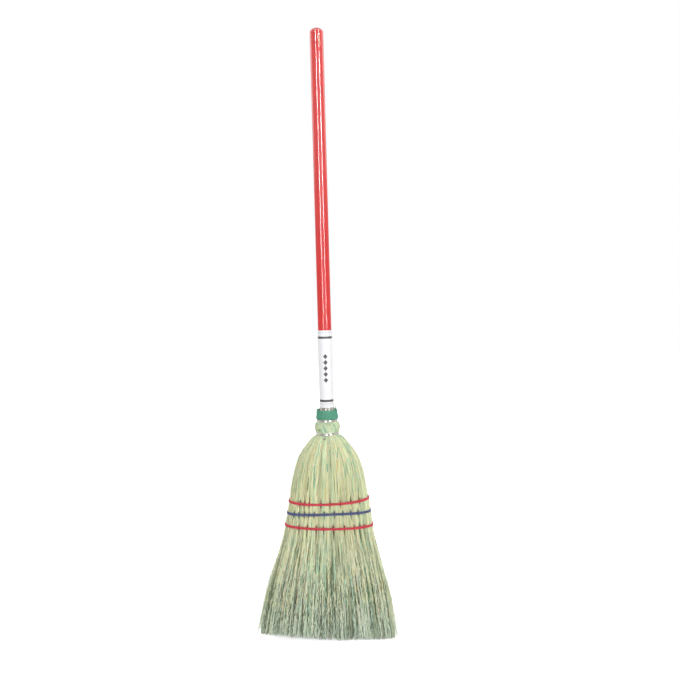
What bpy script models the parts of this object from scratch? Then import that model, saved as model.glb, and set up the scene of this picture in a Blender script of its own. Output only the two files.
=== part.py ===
"""Straw broom: a lacquered wooden handle with a paper label, a head of straw wound on with wire, a green
tape collar, and three stitched rows of twine.

The origin is on the handle's axis in the plane of the straw tips, which is the plane that the broom stands
on. +Z runs up the handle, +X is the right side seen from the front, and the front faces -Y.
"""

from math import atan2, copysign, cos, pi, radians, sin

import bmesh
import bpy
from mathutils import Vector

MM = 0.001

# Overall
GAP = 0.3 * MM
LAYER_GAP = 0.5 * MM
BINDING_ROOM = 0.8 * MM
BROOM_HEIGHT = 1341.0 * MM

# Handle
HANDLE_RADIUS = 14.75 * MM
HANDLE_DOME_HEIGHT = 7.0 * MM
HANDLE_TAPER_START_Z = 440.0 * MM
HANDLE_END_Z = 338.0 * MM
HANDLE_END_RADIUS = 8.5 * MM
HANDLE_END_ROUND = 3.0 * MM
CHIP_BELOW_TOP = 29.0 * MM
CHIP_OFFSET_X = 5.5 * MM
CHIP_LENGTH = 20.0 * MM
CHIP_WIDTH = 5.0 * MM
CHIP_DEPTH = 0.6 * MM

# Label sleeve
LABEL_TOP_Z = 693.5 * MM
LABEL_BOTTOM_Z = 524.6 * MM
LABEL_WALL = 0.7 * MM

# Wire, drawn as single turns with a gap to be seen between them
WIRE_RADIUS = 0.7 * MM
WIRE_PITCH = 1.85 * MM
TOP_WIRE_Z = 520.0 * MM
TOP_WIRE_TURNS = 1.5
COLLAR_WIRE_Z = 490.5 * MM
COLLAR_WIRE_TURNS = 3
SHOULDER_WIRE_Z = 462.0 * MM
SHOULDER_WIRE_TURNS = 3
INNER_WIRE_Z = 434.0 * MM
INNER_WIRE_TURNS = 1.5

# Collar of tape round the butts of the straw
COLLAR_TOP_Z = 516.8 * MM
COLLAR_BOTTOM_Z = 494.8 * MM
COLLAR_TOP_RADIUS = 22.6 * MM
COLLAR_BOTTOM_RADIUS = 24.8 * MM
COLLAR_WAIST_DEPTH = 0.7 * MM
COLLAR_WALL = 0.9 * MM

# Neck of the straw, from its butts under the collar to the shoulder wire
BUTT_TOP_Z = 515.0 * MM
COLLAR_WIRE_SEAT_RADIUS = 21.2 * MM
BULGE_Z = 476.5 * MM
BULGE_RADIUS = 27.4 * MM
BULGE_UPPER_HEIGHT_SHARE = 0.6
BULGE_UPPER_SWELL_SHARE = 0.8
BULGE_LOWER_HEIGHT_SHARE = 0.48
BULGE_LOWER_SWELL_SHARE = 0.75
SHOULDER_WIRE_SEAT_RADIUS = 23.3 * MM

# Head of straw, from the shoulder wire down to the backing that the strands are fused to
BACKING_END_Z = 232.0 * MM
BACKING_HALF_LEFT = 106.0 * MM
BACKING_HALF_RIGHT = 98.5 * MM
HEAD_HALF_THICKNESS = 38.0 * MM
FLUTE_DEPTH = 1.2 * MM
CRESTS = 24
INNER_FACETS = 12
HURL_WALL_NECK = 2.2 * MM
HURL_WALL_HEAD = 8.5 * MM
INSIDE_RADIUS_NECK = 16.3 * MM
INSIDE_HALF_WIDTH = 34.0 * MM
INSIDE_HALF_THICKNESS = 13.5 * MM

# Each row: share of the head's height, shares of the left and the right half width beyond the neck, share of
# the greatest half thickness, and how square the section is
HEAD_OUTLINE_SHARES = (
    (0.028, 0.140, 0.155, 0.76, 0.10),
    (0.080, 0.285, 0.315, 0.86, 0.25),
    (0.147, 0.425, 0.470, 0.94, 0.40),
    (0.206, 0.525, 0.580, 0.98, 0.55),
    (0.268, 0.590, 0.650, 1.00, 0.70),
    (0.387, 0.685, 0.745, 1.00, 0.85),
    (0.506, 0.755, 0.800, 0.96, 1.00),
    (0.625, 0.792, 0.850, 0.90, 1.00),
    (0.744, 0.845, 0.890, 0.87, 1.00),
    (1.000, 1.000, 1.000, 0.83, 1.00),
)
BINDING_TOP_SHARE = 0.080
INSIDE_SWELL_START_SHARE = 0.147
INSIDE_SWELL_END_SHARE = 0.387
ROUND_EXPONENT = 2.0
SQUARE_EXPONENT = 2.5

# Strands below the backing
STRAND_RADIUS = 1.3 * MM
STRAND_ROOT = 8.0 * MM
TIP_RADIUS = 1.2 * MM
TIP_HALF_LEFT = 160.0 * MM
TIP_HALF_RIGHT = 136.0 * MM
TIP_HALF_THICKNESS = 29.0 * MM
WORN_CORNER_RISE = 15.0 * MM
WORN_CORNER_START_X = -40.0 * MM
HURL_COLUMNS = 42
HURL_LAYER_SHARES = (0.34, 0.73)
HURL_SEAM_ANGLES = (0.053, 0.079)
SHOULDER_COLUMNS = 25
SHOULDER_LAYER_SHARES = (0.36, 0.72)
SHOULDER_SEAM_ANGLE = 0.076
INSIDE_RING_COUNTS = (20, 12, 4)
INSIDE_RING_SHARES = (0.78, 0.48, 0.20)

# Stitched rows of twine, from the top: height at the sides, sag in the middle, and fall to the right
TWINE_RADIUS = 1.0 * MM
TWINE_PITCH = 2.5 * MM
TWINE_TURNS = 2
ROWS = (
    ("upper", 315.0 * MM, 5.5 * MM, -1.3 * MM),
    ("middle", 288.5 * MM, 0.5 * MM, 0.0),
    ("lower", 258.0 * MM, 3.5 * MM, 7.2 * MM),
)
LACING_RADIUS = 0.7 * MM
LACING_RISE = 4.2 * MM
LACING_SLANT = 1.5 * MM
FRONT_STITCH_SHARES = {
    "upper": (-0.74, -0.62, -0.50, -0.21, 0.02, 0.28, 0.56, 0.77),
    "middle": (-0.73, -0.60, -0.49, -0.37, -0.13, 0.12, 0.33, 0.53, 0.71),
    "lower": (-0.70, -0.51, -0.31, -0.14, 0.08, 0.34, 0.57, 0.70, 0.80),
}

# Tack at the end of the shoulder wire
TACK_X = -6.0 * MM
TACK_Z = 452.0 * MM
TACK_HEAD_RADIUS = 2.0 * MM
TACK_HEAD_THICKNESS = 1.0 * MM
TACK_SHANK_RADIUS = 0.8 * MM
TACK_LENGTH = 8.0 * MM

# Loose straw that stands up beside the label
LOOSE_STRAW_RADIUS = 0.7 * MM
LOOSE_STRAW_REACH = 9.0 * MM
LOOSE_STRAW_OFFSET = 3.9 * MM
LOOSE_STRAW_LEAN = 2.5 * MM

ROUND_STEPS = 24
SHARP_ANGLE = radians(50)
OVERRUN = 5.0 * MM
MERGE = 0.01 * MM


def new_collection(name):
    collection = bpy.data.collections.new(name)
    bpy.context.scene.collection.children.link(collection)
    return collection


def new_material(name, colour, roughness, metallic=0.0):
    material = bpy.data.materials.new(name)
    material.use_nodes = True
    shader = material.node_tree.nodes["Principled BSDF"]
    shader.inputs["Base Color"].default_value = (*colour, 1.0)
    shader.inputs["Roughness"].default_value = roughness
    shader.inputs["Metallic"].default_value = metallic
    return material


def place(name, data, collection, material=None):
    item = bpy.data.objects.new(name, data)
    collection.objects.link(item)
    if material:
        data.materials.append(material)
    return item


def as_cutter(item):
    item.hide_render = True
    item.display_type = "WIRE"
    return item


def boolean(item, other, operation):
    modifier = item.modifiers.new(other.name, "BOOLEAN")
    modifier.operation = operation
    modifier.solver = "EXACT"
    modifier.object = other


def mesh_from(name, build):
    """A mesh made by build(bm), with its faces turned outwards."""
    bm = bmesh.new()
    build(bm)
    bmesh.ops.recalc_face_normals(bm, faces=bm.faces)
    mesh = bpy.data.meshes.new(name)
    bm.to_mesh(mesh)
    bm.free()
    return mesh


def turned(name, profile, collection, material=None, closed=False):
    """A solid of revolution. The profile is (radius, z) points down its outer side."""
    mesh = bpy.data.meshes.new(name)
    edges = [(i, i + 1) for i in range(len(profile) - 1)]
    if closed:
        edges.append((len(profile) - 1, 0))
    mesh.from_pydata([(radius, 0, z) for radius, z in profile], edges, [])
    item = place(name, mesh, collection, material)
    screw = item.modifiers.new("Turn", "SCREW")
    screw.axis = "Z"
    screw.steps = screw.render_steps = ROUND_STEPS
    screw.use_merge_vertices = True
    screw.use_smooth_shade = True
    screw.merge_threshold = MERGE
    return item


def tube_mesh(name, points, radius, resolution):
    """A closed mesh tube along the points, with its caps welded on."""
    curve = bpy.data.curves.new(name, "CURVE")
    curve.dimensions = "3D"
    curve.bevel_depth = radius
    curve.bevel_resolution = resolution
    curve.use_fill_caps = True
    spline = curve.splines.new("POLY")
    spline.points.add(len(points) - 1)
    for point, place_of in zip(spline.points, points):
        point.co = (*place_of, 1)
    guide = bpy.data.objects.new(name, curve)
    bpy.context.scene.collection.objects.link(guide)
    bpy.context.view_layer.update()
    evaluated = guide.evaluated_get(bpy.context.evaluated_depsgraph_get())
    mesh = bpy.data.meshes.new_from_object(evaluated)
    bpy.data.objects.remove(guide)
    bpy.data.curves.remove(curve)
    bm = bmesh.new()
    bm.from_mesh(mesh)
    bmesh.ops.remove_doubles(bm, verts=bm.verts, dist=MERGE)
    bmesh.ops.recalc_face_normals(bm, faces=bm.faces)
    bm.to_mesh(mesh)
    bm.free()
    mesh.shade_smooth()
    mesh.set_sharp_from_angle(angle=SHARP_ANGLE)
    return mesh


def loft(sections):
    """A builder of a closed solid through the sections, which have the same number of points. Each side facet
    is split from its upper corner nearer the middle of the broom, so that nested layers stay apart."""

    def build(bm):
        rings = [[bm.verts.new(point) for point in section] for section in sections]
        for upper, lower in zip(rings, rings[1:]):
            for i in range(len(upper)):
                j = (i + 1) % len(upper)
                near, far = sorted((i, j), key=lambda k: abs(upper[k].co.x))
                bm.faces.new((upper[i], upper[j], lower[far]))
                bm.faces.new((lower[j], lower[i], upper[near]))
        bm.faces.new(rings[0])
        bm.faces.new(rings[-1])

    return build


def blend(a, b, share):
    return a + (b - a) * share


def stations():
    """Every height at which the head's outline turns, as (z, left, right, half thickness, squareness)."""
    collar_half = wire_half_height(COLLAR_WIRE_TURNS)
    shoulder_half = wire_half_height(SHOULDER_WIRE_TURNS)
    round_rows = [
        (BUTT_TOP_Z, COLLAR_TOP_RADIUS - COLLAR_WALL - GAP),
        (COLLAR_WIRE_Z + collar_half, COLLAR_WIRE_SEAT_RADIUS),
        (COLLAR_WIRE_Z - collar_half, COLLAR_WIRE_SEAT_RADIUS),
        (
            blend(COLLAR_WIRE_Z, BULGE_Z, BULGE_UPPER_HEIGHT_SHARE),
            blend(COLLAR_WIRE_SEAT_RADIUS, BULGE_RADIUS, BULGE_UPPER_SWELL_SHARE),
        ),
        (BULGE_Z, BULGE_RADIUS),
        (
            blend(SHOULDER_WIRE_Z, BULGE_Z, BULGE_LOWER_HEIGHT_SHARE),
            blend(SHOULDER_WIRE_SEAT_RADIUS, BULGE_RADIUS, BULGE_LOWER_SWELL_SHARE),
        ),
        (SHOULDER_WIRE_Z + shoulder_half, SHOULDER_WIRE_SEAT_RADIUS),
        (head_height(0), SHOULDER_WIRE_SEAT_RADIUS),
    ]
    rows = [(z, radius, radius, radius, 0.0) for z, radius in round_rows]
    for down, left, right, thick, square in HEAD_OUTLINE_SHARES:
        rows.append(
            (
                head_height(down),
                blend(SHOULDER_WIRE_SEAT_RADIUS, BACKING_HALF_LEFT, left),
                blend(SHOULDER_WIRE_SEAT_RADIUS, BACKING_HALF_RIGHT, right),
                HEAD_HALF_THICKNESS * thick,
                square,
            )
        )
    return rows


def wire_half_height(turns):
    return WIRE_PITCH * turns / 2 + WIRE_RADIUS + GAP


def head_height(share):
    """The height at a share of the way from the foot of the shoulder wire to the end of the backing."""
    return blend(SHOULDER_WIRE_Z - wire_half_height(SHOULDER_WIRE_TURNS), BACKING_END_Z, share)


def head_at(z):
    """The head's section at a height, as (left, right, half thickness, squareness)."""
    rows = stations()
    for upper, lower in zip(rows, rows[1:]):
        if z >= lower[0]:
            share = (upper[0] - z) / (upper[0] - lower[0])
            return [blend(a, b, share) for a, b in zip(upper[1:], lower[1:])]
    return list(rows[-1][1:])


def hurl_wall(z):
    """The thickness of the outer straw, which grows below the shoulder wire."""
    share = (head_height(0) - z) / (head_height(0) - head_height(INSIDE_SWELL_END_SHARE))
    return blend(HURL_WALL_NECK, HURL_WALL_HEAD, min(max(share, 0.0), 1.0))


def on_section(z, angle, inset=0.0):
    """A point of the head's section at a height, moved inwards by an inset. Angle 0 is +X, 90 degrees is +Y."""
    left, right, thick, square = head_at(z)
    exponent = blend(ROUND_EXPONENT, SQUARE_EXPONENT, square)
    half_width = (right if cos(angle) >= 0 else left) - inset
    x = copysign(abs(cos(angle)) ** (2 / exponent), cos(angle)) * half_width
    y = copysign(abs(sin(angle)) ** (2 / exponent), sin(angle)) * (thick - inset)
    return Vector((x, y, z))


def on_inside(z, angle, inset=0.0):
    """A point of the inside corn's section: round at the neck, an ellipse below."""
    start = head_height(INSIDE_SWELL_START_SHARE)
    share = (start - z) / (start - head_height(INSIDE_SWELL_END_SHARE))
    share = min(max(share, 0.0), 1.0)
    half_width = blend(INSIDE_RADIUS_NECK, INSIDE_HALF_WIDTH, share) - inset
    half_thickness = blend(INSIDE_RADIUS_NECK, INSIDE_HALF_THICKNESS, share) - inset
    return Vector((half_width * cos(angle), half_thickness * sin(angle), z))


def levels():
    """The heights that every layer of straw is lofted through."""
    return [row[0] for row in stations()]


def shifted(points, offset):
    """Points kept off the plane between two layers, by an offset along X or Y."""
    return [Vector(point) + offset for point in points]


def half_angles(start, count):
    """Angles over a half turn from a start, with both ends."""
    return [start + pi * i / count for i in range(count + 1)]


def hurl_section(z, start):
    """A half shell of outer straw: crests and flutes outside, plain inside."""
    angles = half_angles(start, CRESTS)
    outer = [on_section(z, a, FLUTE_DEPTH * (i % 2)) for i, a in enumerate(angles)]
    inner = [on_section(z, a, hurl_wall(z)) for a in half_angles(start, INNER_FACETS // 2)[::-1]]
    return shifted(outer + inner, Vector((0, copysign(GAP / 2, sin(start + pi / 2)), 0)))


def shoulder_section(z, start):
    """A half shell of straw between the outer straw and the inside corn."""
    angles = half_angles(start, INNER_FACETS // 2)
    outer = [on_section(z, a, hurl_wall(z) + LAYER_GAP) for a in angles]
    room = LAYER_GAP
    if head_height(INSIDE_SWELL_START_SHARE) <= z <= head_height(BINDING_TOP_SHARE):
        room = 2 * (WIRE_RADIUS + BINDING_ROOM)
    inner = [on_inside(z, a, -room) for a in angles[::-1]]
    return shifted(outer + inner, Vector((copysign(GAP / 2, cos(start + pi / 2)), 0, 0)))


def inside_section(z):
    return [on_inside(z, 2 * pi * i / INNER_FACETS) for i in range(INNER_FACETS)]


def even_angles(path, start, end, count):
    """Angles that part a path from start to end into even lengths, at the middle of each."""
    steps = count * CRESTS
    angles = [blend(start, end, i / steps) for i in range(steps + 1)]
    points = [path(a) for a in angles]
    lengths = [0.0]
    for a, b in zip(points, points[1:]):
        lengths.append(lengths[-1] + (b - a).length)
    found = []
    for i in range(count):
        target = lengths[-1] * (i + 0.5) / count
        found.append(next(a for a, length in zip(angles, lengths) if length >= target))
    return found


def tip_of(root):
    """Where a strand that leaves the backing at a root ends: spread out, and shorter at the worn left corner."""
    wide = TIP_HALF_RIGHT / BACKING_HALF_RIGHT if root.x >= 0 else TIP_HALF_LEFT / BACKING_HALF_LEFT
    x = root.x * wide
    y = root.y * TIP_HALF_THICKNESS / head_at(BACKING_END_Z)[2]
    worn = max(0.0, (WORN_CORNER_START_X - x) / (TIP_HALF_LEFT + WORN_CORNER_START_X))
    return Vector((x, y, WORN_CORNER_RISE * worn**2))


def strands(name, roots, collection):
    """One mesh of three-sided strands, each straight from inside the backing to its tip."""

    def build(bm):
        for root in roots:
            tip = tip_of(root)
            top = root + (root - tip) * (STRAND_ROOT / (root.z - tip.z))
            rings = []
            for centre, radius in ((top, STRAND_RADIUS), (tip, TIP_RADIUS)):
                turn = atan2(root.y, root.x)
                corners = [turn + 2 * pi * i / 3 for i in range(3)]
                rings.append([centre + Vector((cos(a), sin(a), 0)) * radius for a in corners])
            loft(rings)(bm)

    return as_cutter(place(name, mesh_from(name, build), collection))


def hurl_roots(start):
    """Places of the strands of one half of the outer straw."""
    roots = []
    for share, seam in zip(HURL_LAYER_SHARES, HURL_SEAM_ANGLES):
        inset = HURL_WALL_HEAD * share

        def path(angle):
            return on_section(BACKING_END_Z, angle, inset)

        roots += [path(a) for a in even_angles(path, start + seam, start + pi - seam, HURL_COLUMNS)]
    return roots


def shoulder_roots(start):
    """Places of the strands of one half of the straw under the outer straw."""
    roots = []
    for share in SHOULDER_LAYER_SHARES:

        def path(angle):
            outer = on_section(BACKING_END_Z, angle, HURL_WALL_HEAD + LAYER_GAP)
            return outer.lerp(on_inside(BACKING_END_Z, angle, -LAYER_GAP), share)

        ends = (start + SHOULDER_SEAM_ANGLE, start + pi - SHOULDER_SEAM_ANGLE)
        roots += [path(a) for a in even_angles(path, *ends, SHOULDER_COLUMNS)]
    return roots


def inside_roots():
    """Places of the strands of the inside corn: one in the middle, and rings round it."""
    roots = [Vector((0, 0, BACKING_END_Z))]
    for count, share in zip(INSIDE_RING_COUNTS, INSIDE_RING_SHARES):

        def path(angle):
            point = on_inside(BACKING_END_Z, angle)
            return Vector((point.x * share, point.y * share, BACKING_END_Z))

        roots += [path(a) for a in even_angles(path, 0, 2 * pi, count)]
    return roots


def row_z(row, x):
    """The height of a stitched row at a place across the head."""
    side_z, sag, fall = row[1:]
    left, right = head_at(side_z)[:2]
    across = x / (right if x >= 0 else left)
    return side_z - sag * (1 - across**2) - fall * across / 2


def band_points(row):
    """The band of a stitched row: turns of twine that rest on the crests of the straw."""
    points = []
    for k in range(TWINE_TURNS * CRESTS + 1):
        angle = 2 * pi * (k % CRESTS) / CRESTS
        climb = TWINE_PITCH * (k / CRESTS - TWINE_TURNS / 2)
        x = on_section(row[1], angle).x
        z = row_z(row, x) + climb
        points.append(on_section(z, angle, -GAP - TWINE_RADIUS))
    return points


def lacing_points(row):
    """The lacing of a stitched row, which goes through the head and hooks over the band on both faces."""
    left, right = head_at(row[1])[:2]
    outset = GAP * 2 + TWINE_RADIUS * 2 + LACING_RADIUS
    fronts = FRONT_STITCH_SHARES[row[0]]
    backs = [(a + b) / 2 for a, b in zip(fronts, fronts[1:])]
    points = []
    for k, across in enumerate(sorted([*fronts, *backs])):
        x = across * (right if across >= 0 else left)
        front = k % 2 == 0
        rise = LACING_RISE if front else -LACING_RISE
        for side in (-1, 1):
            z = row_z(row, x) + rise * side
            at_x = x + LACING_SLANT * side
            points.append(Vector((at_x, face_y(z, at_x, outset) * (-1 if front else 1), z)))
    return points


def face_y(z, x, outset):
    """How far the head's front or back face stands out at a place, with an outset."""
    left, right, thick, square = head_at(z)
    exponent = blend(ROUND_EXPONENT, SQUARE_EXPONENT, square)
    across = abs(x) / (right if x >= 0 else left)
    return thick * (1 - across**exponent) ** (1 / exponent) + outset


def helix(radius, z, turns):
    """A winding of wire round the handle's axis, rising about the middle height z."""
    steps = round(turns * ROUND_STEPS)
    points = []
    for k in range(steps + 1):
        angle = 2 * pi * k / ROUND_STEPS - pi / 2
        rise = WIRE_PITCH * (k / ROUND_STEPS - turns / 2)
        points.append(Vector((radius * cos(angle), radius * sin(angle), z + rise)))
    return points


def least_gap(points, radius, turn_steps):
    """The least gap of a winding to itself, measured on its points more than half a turn apart."""
    far = [
        (a - b).length - 2 * radius
        for i, a in enumerate(points)
        for b in points[i + turn_steps // 2 :]
    ]
    return min(far)


def winding(name, points, radius, collection, material):
    print(name, "least gap to itself", round(least_gap(points, radius, ROUND_STEPS) / MM, 2), "mm")
    return place(name, tube_mesh(name, points, radius, 1), collection, material)


def handle_profile():
    """Down the handle's outer side: the dome, the grip, and the taper inside the head."""
    dome = [
        (HANDLE_RADIUS * sin(a), BROOM_HEIGHT - HANDLE_DOME_HEIGHT * (1 - cos(a)))
        for a in (pi / 2 * i / 6 for i in range(7))
    ]
    return dome + [
        (HANDLE_RADIUS, HANDLE_TAPER_START_Z),
        (HANDLE_END_RADIUS, HANDLE_END_Z + HANDLE_END_ROUND),
        (HANDLE_END_RADIUS - HANDLE_END_ROUND, HANDLE_END_Z),
        (0, HANDLE_END_Z),
    ]


def chip_cutter(collection):
    """A long bead that takes a shallow chip out of the handle's front, near its top."""

    def build(bm):
        bmesh.ops.create_uvsphere(bm, u_segments=12, v_segments=8, radius=CHIP_WIDTH / 2)
        bmesh.ops.scale(bm, vec=(1, 1, CHIP_LENGTH / CHIP_WIDTH), verts=bm.verts)

    chip = as_cutter(place("chip_cutter", mesh_from("chip_cutter", build), collection))
    face = (HANDLE_RADIUS**2 - CHIP_OFFSET_X**2) ** 0.5
    chip.location = (CHIP_OFFSET_X, CHIP_DEPTH - face - CHIP_WIDTH / 2, BROOM_HEIGHT - CHIP_BELOW_TOP)
    return chip


def bore_profile():
    """The handle's seat in the inside corn."""
    return [
        (0, BUTT_TOP_Z + OVERRUN),
        (HANDLE_RADIUS + GAP, BUTT_TOP_Z + OVERRUN),
        (HANDLE_RADIUS + GAP, HANDLE_TAPER_START_Z),
        (HANDLE_END_RADIUS + GAP, HANDLE_END_Z + HANDLE_END_ROUND),
        (HANDLE_END_RADIUS + GAP, HANDLE_END_Z - GAP),
        (0, HANDLE_END_Z - GAP),
    ]


def collar_profile():
    """A closed outline: tape that turns in over the butts at the top, with a waist and a rolled lower rim."""
    height = COLLAR_TOP_Z - COLLAR_BOTTOM_Z
    lip_radius = HANDLE_RADIUS + GAP + COLLAR_WALL
    outer = [
        (lip_radius, COLLAR_TOP_Z),
        (COLLAR_TOP_RADIUS - COLLAR_WALL, COLLAR_TOP_Z),
        (COLLAR_TOP_RADIUS, COLLAR_TOP_Z - COLLAR_WALL),
    ]
    for share, waist in ((0.25, 0.2), (0.45, 1.0), (0.62, 1.0), (0.80, 0.1)):
        radius = blend(COLLAR_TOP_RADIUS, COLLAR_BOTTOM_RADIUS, share)
        outer.append((radius - COLLAR_WAIST_DEPTH * waist, COLLAR_TOP_Z - height * share))
    outer += [
        (COLLAR_BOTTOM_RADIUS, COLLAR_BOTTOM_Z + COLLAR_WALL),
        (COLLAR_BOTTOM_RADIUS - COLLAR_WALL, COLLAR_BOTTOM_Z),
    ]
    inner = [
        (COLLAR_BOTTOM_RADIUS - COLLAR_WALL * 2, COLLAR_BOTTOM_Z),
        (COLLAR_TOP_RADIUS - COLLAR_WALL, BUTT_TOP_Z + GAP),
        (lip_radius, BUTT_TOP_Z + GAP),
    ]
    return outer + inner


def tack_profile(reach, clearance=0.0):
    """A tack along Z before it is laid down: its head on top, its shank to the point."""
    return [
        (0, reach + clearance),
        (TACK_HEAD_RADIUS + clearance, reach + clearance),
        (TACK_HEAD_RADIUS + clearance, reach - TACK_HEAD_THICKNESS - clearance),
        (TACK_SHANK_RADIUS + clearance, reach - TACK_HEAD_THICKNESS - clearance),
        (TACK_SHANK_RADIUS + clearance, reach - TACK_LENGTH + TACK_SHANK_RADIUS),
        (0, reach - TACK_LENGTH - clearance),
    ]


def remove_all():
    for item in list(bpy.data.objects):
        bpy.data.objects.remove(item)


def main():
    remove_all()
    broom = new_collection("straw_broom")
    cutters = new_collection("cutters")
    lacquer = new_material("red_lacquer", (0.69, 0.063, 0.069), 0.3)
    paper = new_material("white_paper", (0.94, 0.94, 0.95), 0.6)
    wire = new_material("tinned_wire", (0.62, 0.62, 0.62), 0.3, 1.0)
    tape = new_material("green_tape", (0.11, 0.36, 0.23), 0.85)
    steel = new_material("dark_steel", (0.06, 0.06, 0.06), 0.5, 1.0)
    hurl_straw = new_material("outer_straw", (0.60, 0.65, 0.37), 0.8)
    shoulder_straw = new_material("shoulder_straw", (0.52, 0.60, 0.36), 0.8)
    inside_straw = new_material("inside_straw", (0.45, 0.54, 0.33), 0.8)
    red_twine = new_material("red_twine", (0.62, 0.028, 0.060), 0.8)
    blue_twine = new_material("blue_twine", (0.050, 0.068, 0.25), 0.8)

    handle = turned("handle", handle_profile(), broom, lacquer)
    boolean(handle, chip_cutter(cutters), "DIFFERENCE")

    sleeve_inner = HANDLE_RADIUS + GAP
    sleeve_outer = sleeve_inner + LABEL_WALL
    sleeve = [
        (sleeve_inner, LABEL_TOP_Z),
        (sleeve_outer, LABEL_TOP_Z),
        (sleeve_outer, LABEL_BOTTOM_Z),
        (sleeve_inner, LABEL_BOTTOM_Z),
    ]
    turned("label_sleeve", sleeve, broom, paper, closed=True)
    turned("collar_tape", collar_profile(), broom, tape, closed=True)

    reach = GAP + WIRE_RADIUS
    winding("top_wire", helix(HANDLE_RADIUS + reach, TOP_WIRE_Z, TOP_WIRE_TURNS), WIRE_RADIUS, broom, wire)
    seat = COLLAR_WIRE_SEAT_RADIUS + reach
    winding("collar_wire", helix(seat, COLLAR_WIRE_Z, COLLAR_WIRE_TURNS), WIRE_RADIUS, broom, wire)
    seat = SHOULDER_WIRE_SEAT_RADIUS + reach
    winding("shoulder_wire", helix(seat, SHOULDER_WIRE_Z, SHOULDER_WIRE_TURNS), WIRE_RADIUS, broom, wire)
    seat = INSIDE_RADIUS_NECK + reach
    winding("inner_binding_wire", helix(seat, INNER_WIRE_Z, INNER_WIRE_TURNS), WIRE_RADIUS, broom, wire)

    inside = mesh_from("inside_corn", loft([inside_section(z) for z in levels()]))
    inside_corn = place("inside_corn", inside, broom, inside_straw)
    bore = as_cutter(turned("handle_bore_cutter", bore_profile(), cutters))
    boolean(inside_corn, bore, "DIFFERENCE")
    boolean(inside_corn, strands("inside_strands", inside_roots(), cutters), "UNION")
    layers = [inside_corn]
    for name, start in (("shoulder_corn_left", pi / 2), ("shoulder_corn_right", -pi / 2)):
        shell = mesh_from(name, loft([shoulder_section(z, start) for z in levels()]))
        layer = place(name, shell, broom, shoulder_straw)
        boolean(layer, strands(name + "_strands", shoulder_roots(start), cutters), "UNION")
        layers.append(layer)
    for name, start in (("hurl_front", -pi), ("hurl_back", 0.0)):
        shell = mesh_from(name, loft([hurl_section(z, start) for z in levels()]))
        layer = place(name, shell, broom, hurl_straw)
        boolean(layer, strands(name + "_strands", hurl_roots(start), cutters), "UNION")
        layers.append(layer)

    stand = Vector((HANDLE_RADIUS + LOOSE_STRAW_OFFSET, 0, COLLAR_TOP_Z + GAP))
    lean = [Vector((LOOSE_STRAW_LEAN * s**2, 0, LOOSE_STRAW_REACH * s)) for s in (0, 0.2, 0.6, 1)]
    straw = tube_mesh("loose_straw", [stand + step for step in lean], LOOSE_STRAW_RADIUS, 1)
    place("loose_straw", straw, broom, shoulder_straw)

    tack_reach = face_y(TACK_Z, TACK_X, TACK_HEAD_THICKNESS + GAP)
    for name, clearance, where in (("shoulder_tack", 0.0, broom), ("tack_cutter", GAP, cutters)):
        tack = turned(name, tack_profile(tack_reach, clearance), where, steel)
        tack.rotation_euler = (pi / 2, 0, 0)
        tack.location = (TACK_X, 0, TACK_Z)
    as_cutter(tack)
    boolean(bpy.data.objects["hurl_front"], tack, "DIFFERENCE")
    boolean(bpy.data.objects["shoulder_corn_left"], tack, "DIFFERENCE")

    for row in ROWS:
        twine = blue_twine if row[0] == "middle" else red_twine
        winding(row[0] + "_twine_band", band_points(row), TWINE_RADIUS, broom, twine)
        route = lacing_points(row)
        name = row[0] + "_lacing"
        place(name, tube_mesh(name, route, LACING_RADIUS, 0), broom, twine)
        tunnel = tube_mesh(name + "_cutter", route, LACING_RADIUS + GAP, 0)
        cutter = as_cutter(place(name + "_cutter", tunnel, cutters))
        for layer in layers:
            boolean(layer, cutter, "DIFFERENCE")


main()
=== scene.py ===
"""Looks of a straw broom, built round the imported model: the lacquered stick, the paper label, the tape
collar, the tinned wire, the straw and the stitched twine. Run it as a script; the panel lists each piece's
sizes.
"""

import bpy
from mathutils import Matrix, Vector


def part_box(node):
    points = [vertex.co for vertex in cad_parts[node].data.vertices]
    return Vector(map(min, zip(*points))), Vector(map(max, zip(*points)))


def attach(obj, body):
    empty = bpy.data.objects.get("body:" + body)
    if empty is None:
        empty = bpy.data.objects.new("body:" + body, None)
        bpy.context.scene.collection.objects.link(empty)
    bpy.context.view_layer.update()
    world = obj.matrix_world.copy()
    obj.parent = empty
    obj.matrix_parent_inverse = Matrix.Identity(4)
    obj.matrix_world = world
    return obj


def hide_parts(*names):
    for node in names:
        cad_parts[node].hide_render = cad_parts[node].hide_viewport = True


bl_info = {
    "name": "Straw Broom Looks",
    "version": (1, 0, 0),
    "blender": (4, 5, 0),
    "location": "View3D > Sidebar > Straw Broom",
    "description": "Dresses the packed model of a straw broom, piece by piece",
    "category": "Object",
}

from math import cos, exp, pi, radians, sin, tau

import bmesh
import bpy
import numpy as np
from mathutils import Matrix, Vector, noise

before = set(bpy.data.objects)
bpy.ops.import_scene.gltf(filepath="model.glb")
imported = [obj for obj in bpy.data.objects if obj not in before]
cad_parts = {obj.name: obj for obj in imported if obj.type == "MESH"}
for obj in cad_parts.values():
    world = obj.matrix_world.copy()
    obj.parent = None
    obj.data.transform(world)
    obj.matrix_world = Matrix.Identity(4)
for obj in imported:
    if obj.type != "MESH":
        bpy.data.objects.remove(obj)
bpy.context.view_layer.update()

MM = 0.001
BODY = "root"
IMAGE_SIDE = 680
SENSOR_WIDTH = 36.0


def box_of(name):
    """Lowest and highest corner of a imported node."""
    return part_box(name)


HANDLE_BOX = box_of("handle")
LABEL_BOX = box_of("label_sleeve")
COLLAR_BOX = box_of("collar_tape")
HURL_BOX = (
    Vector(map(min, zip(box_of("hurl_front")[0], box_of("hurl_back")[0]))),
    Vector(map(max, zip(box_of("hurl_front")[1], box_of("hurl_back")[1]))),
)


# Sizes and colours that a user would change


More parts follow.
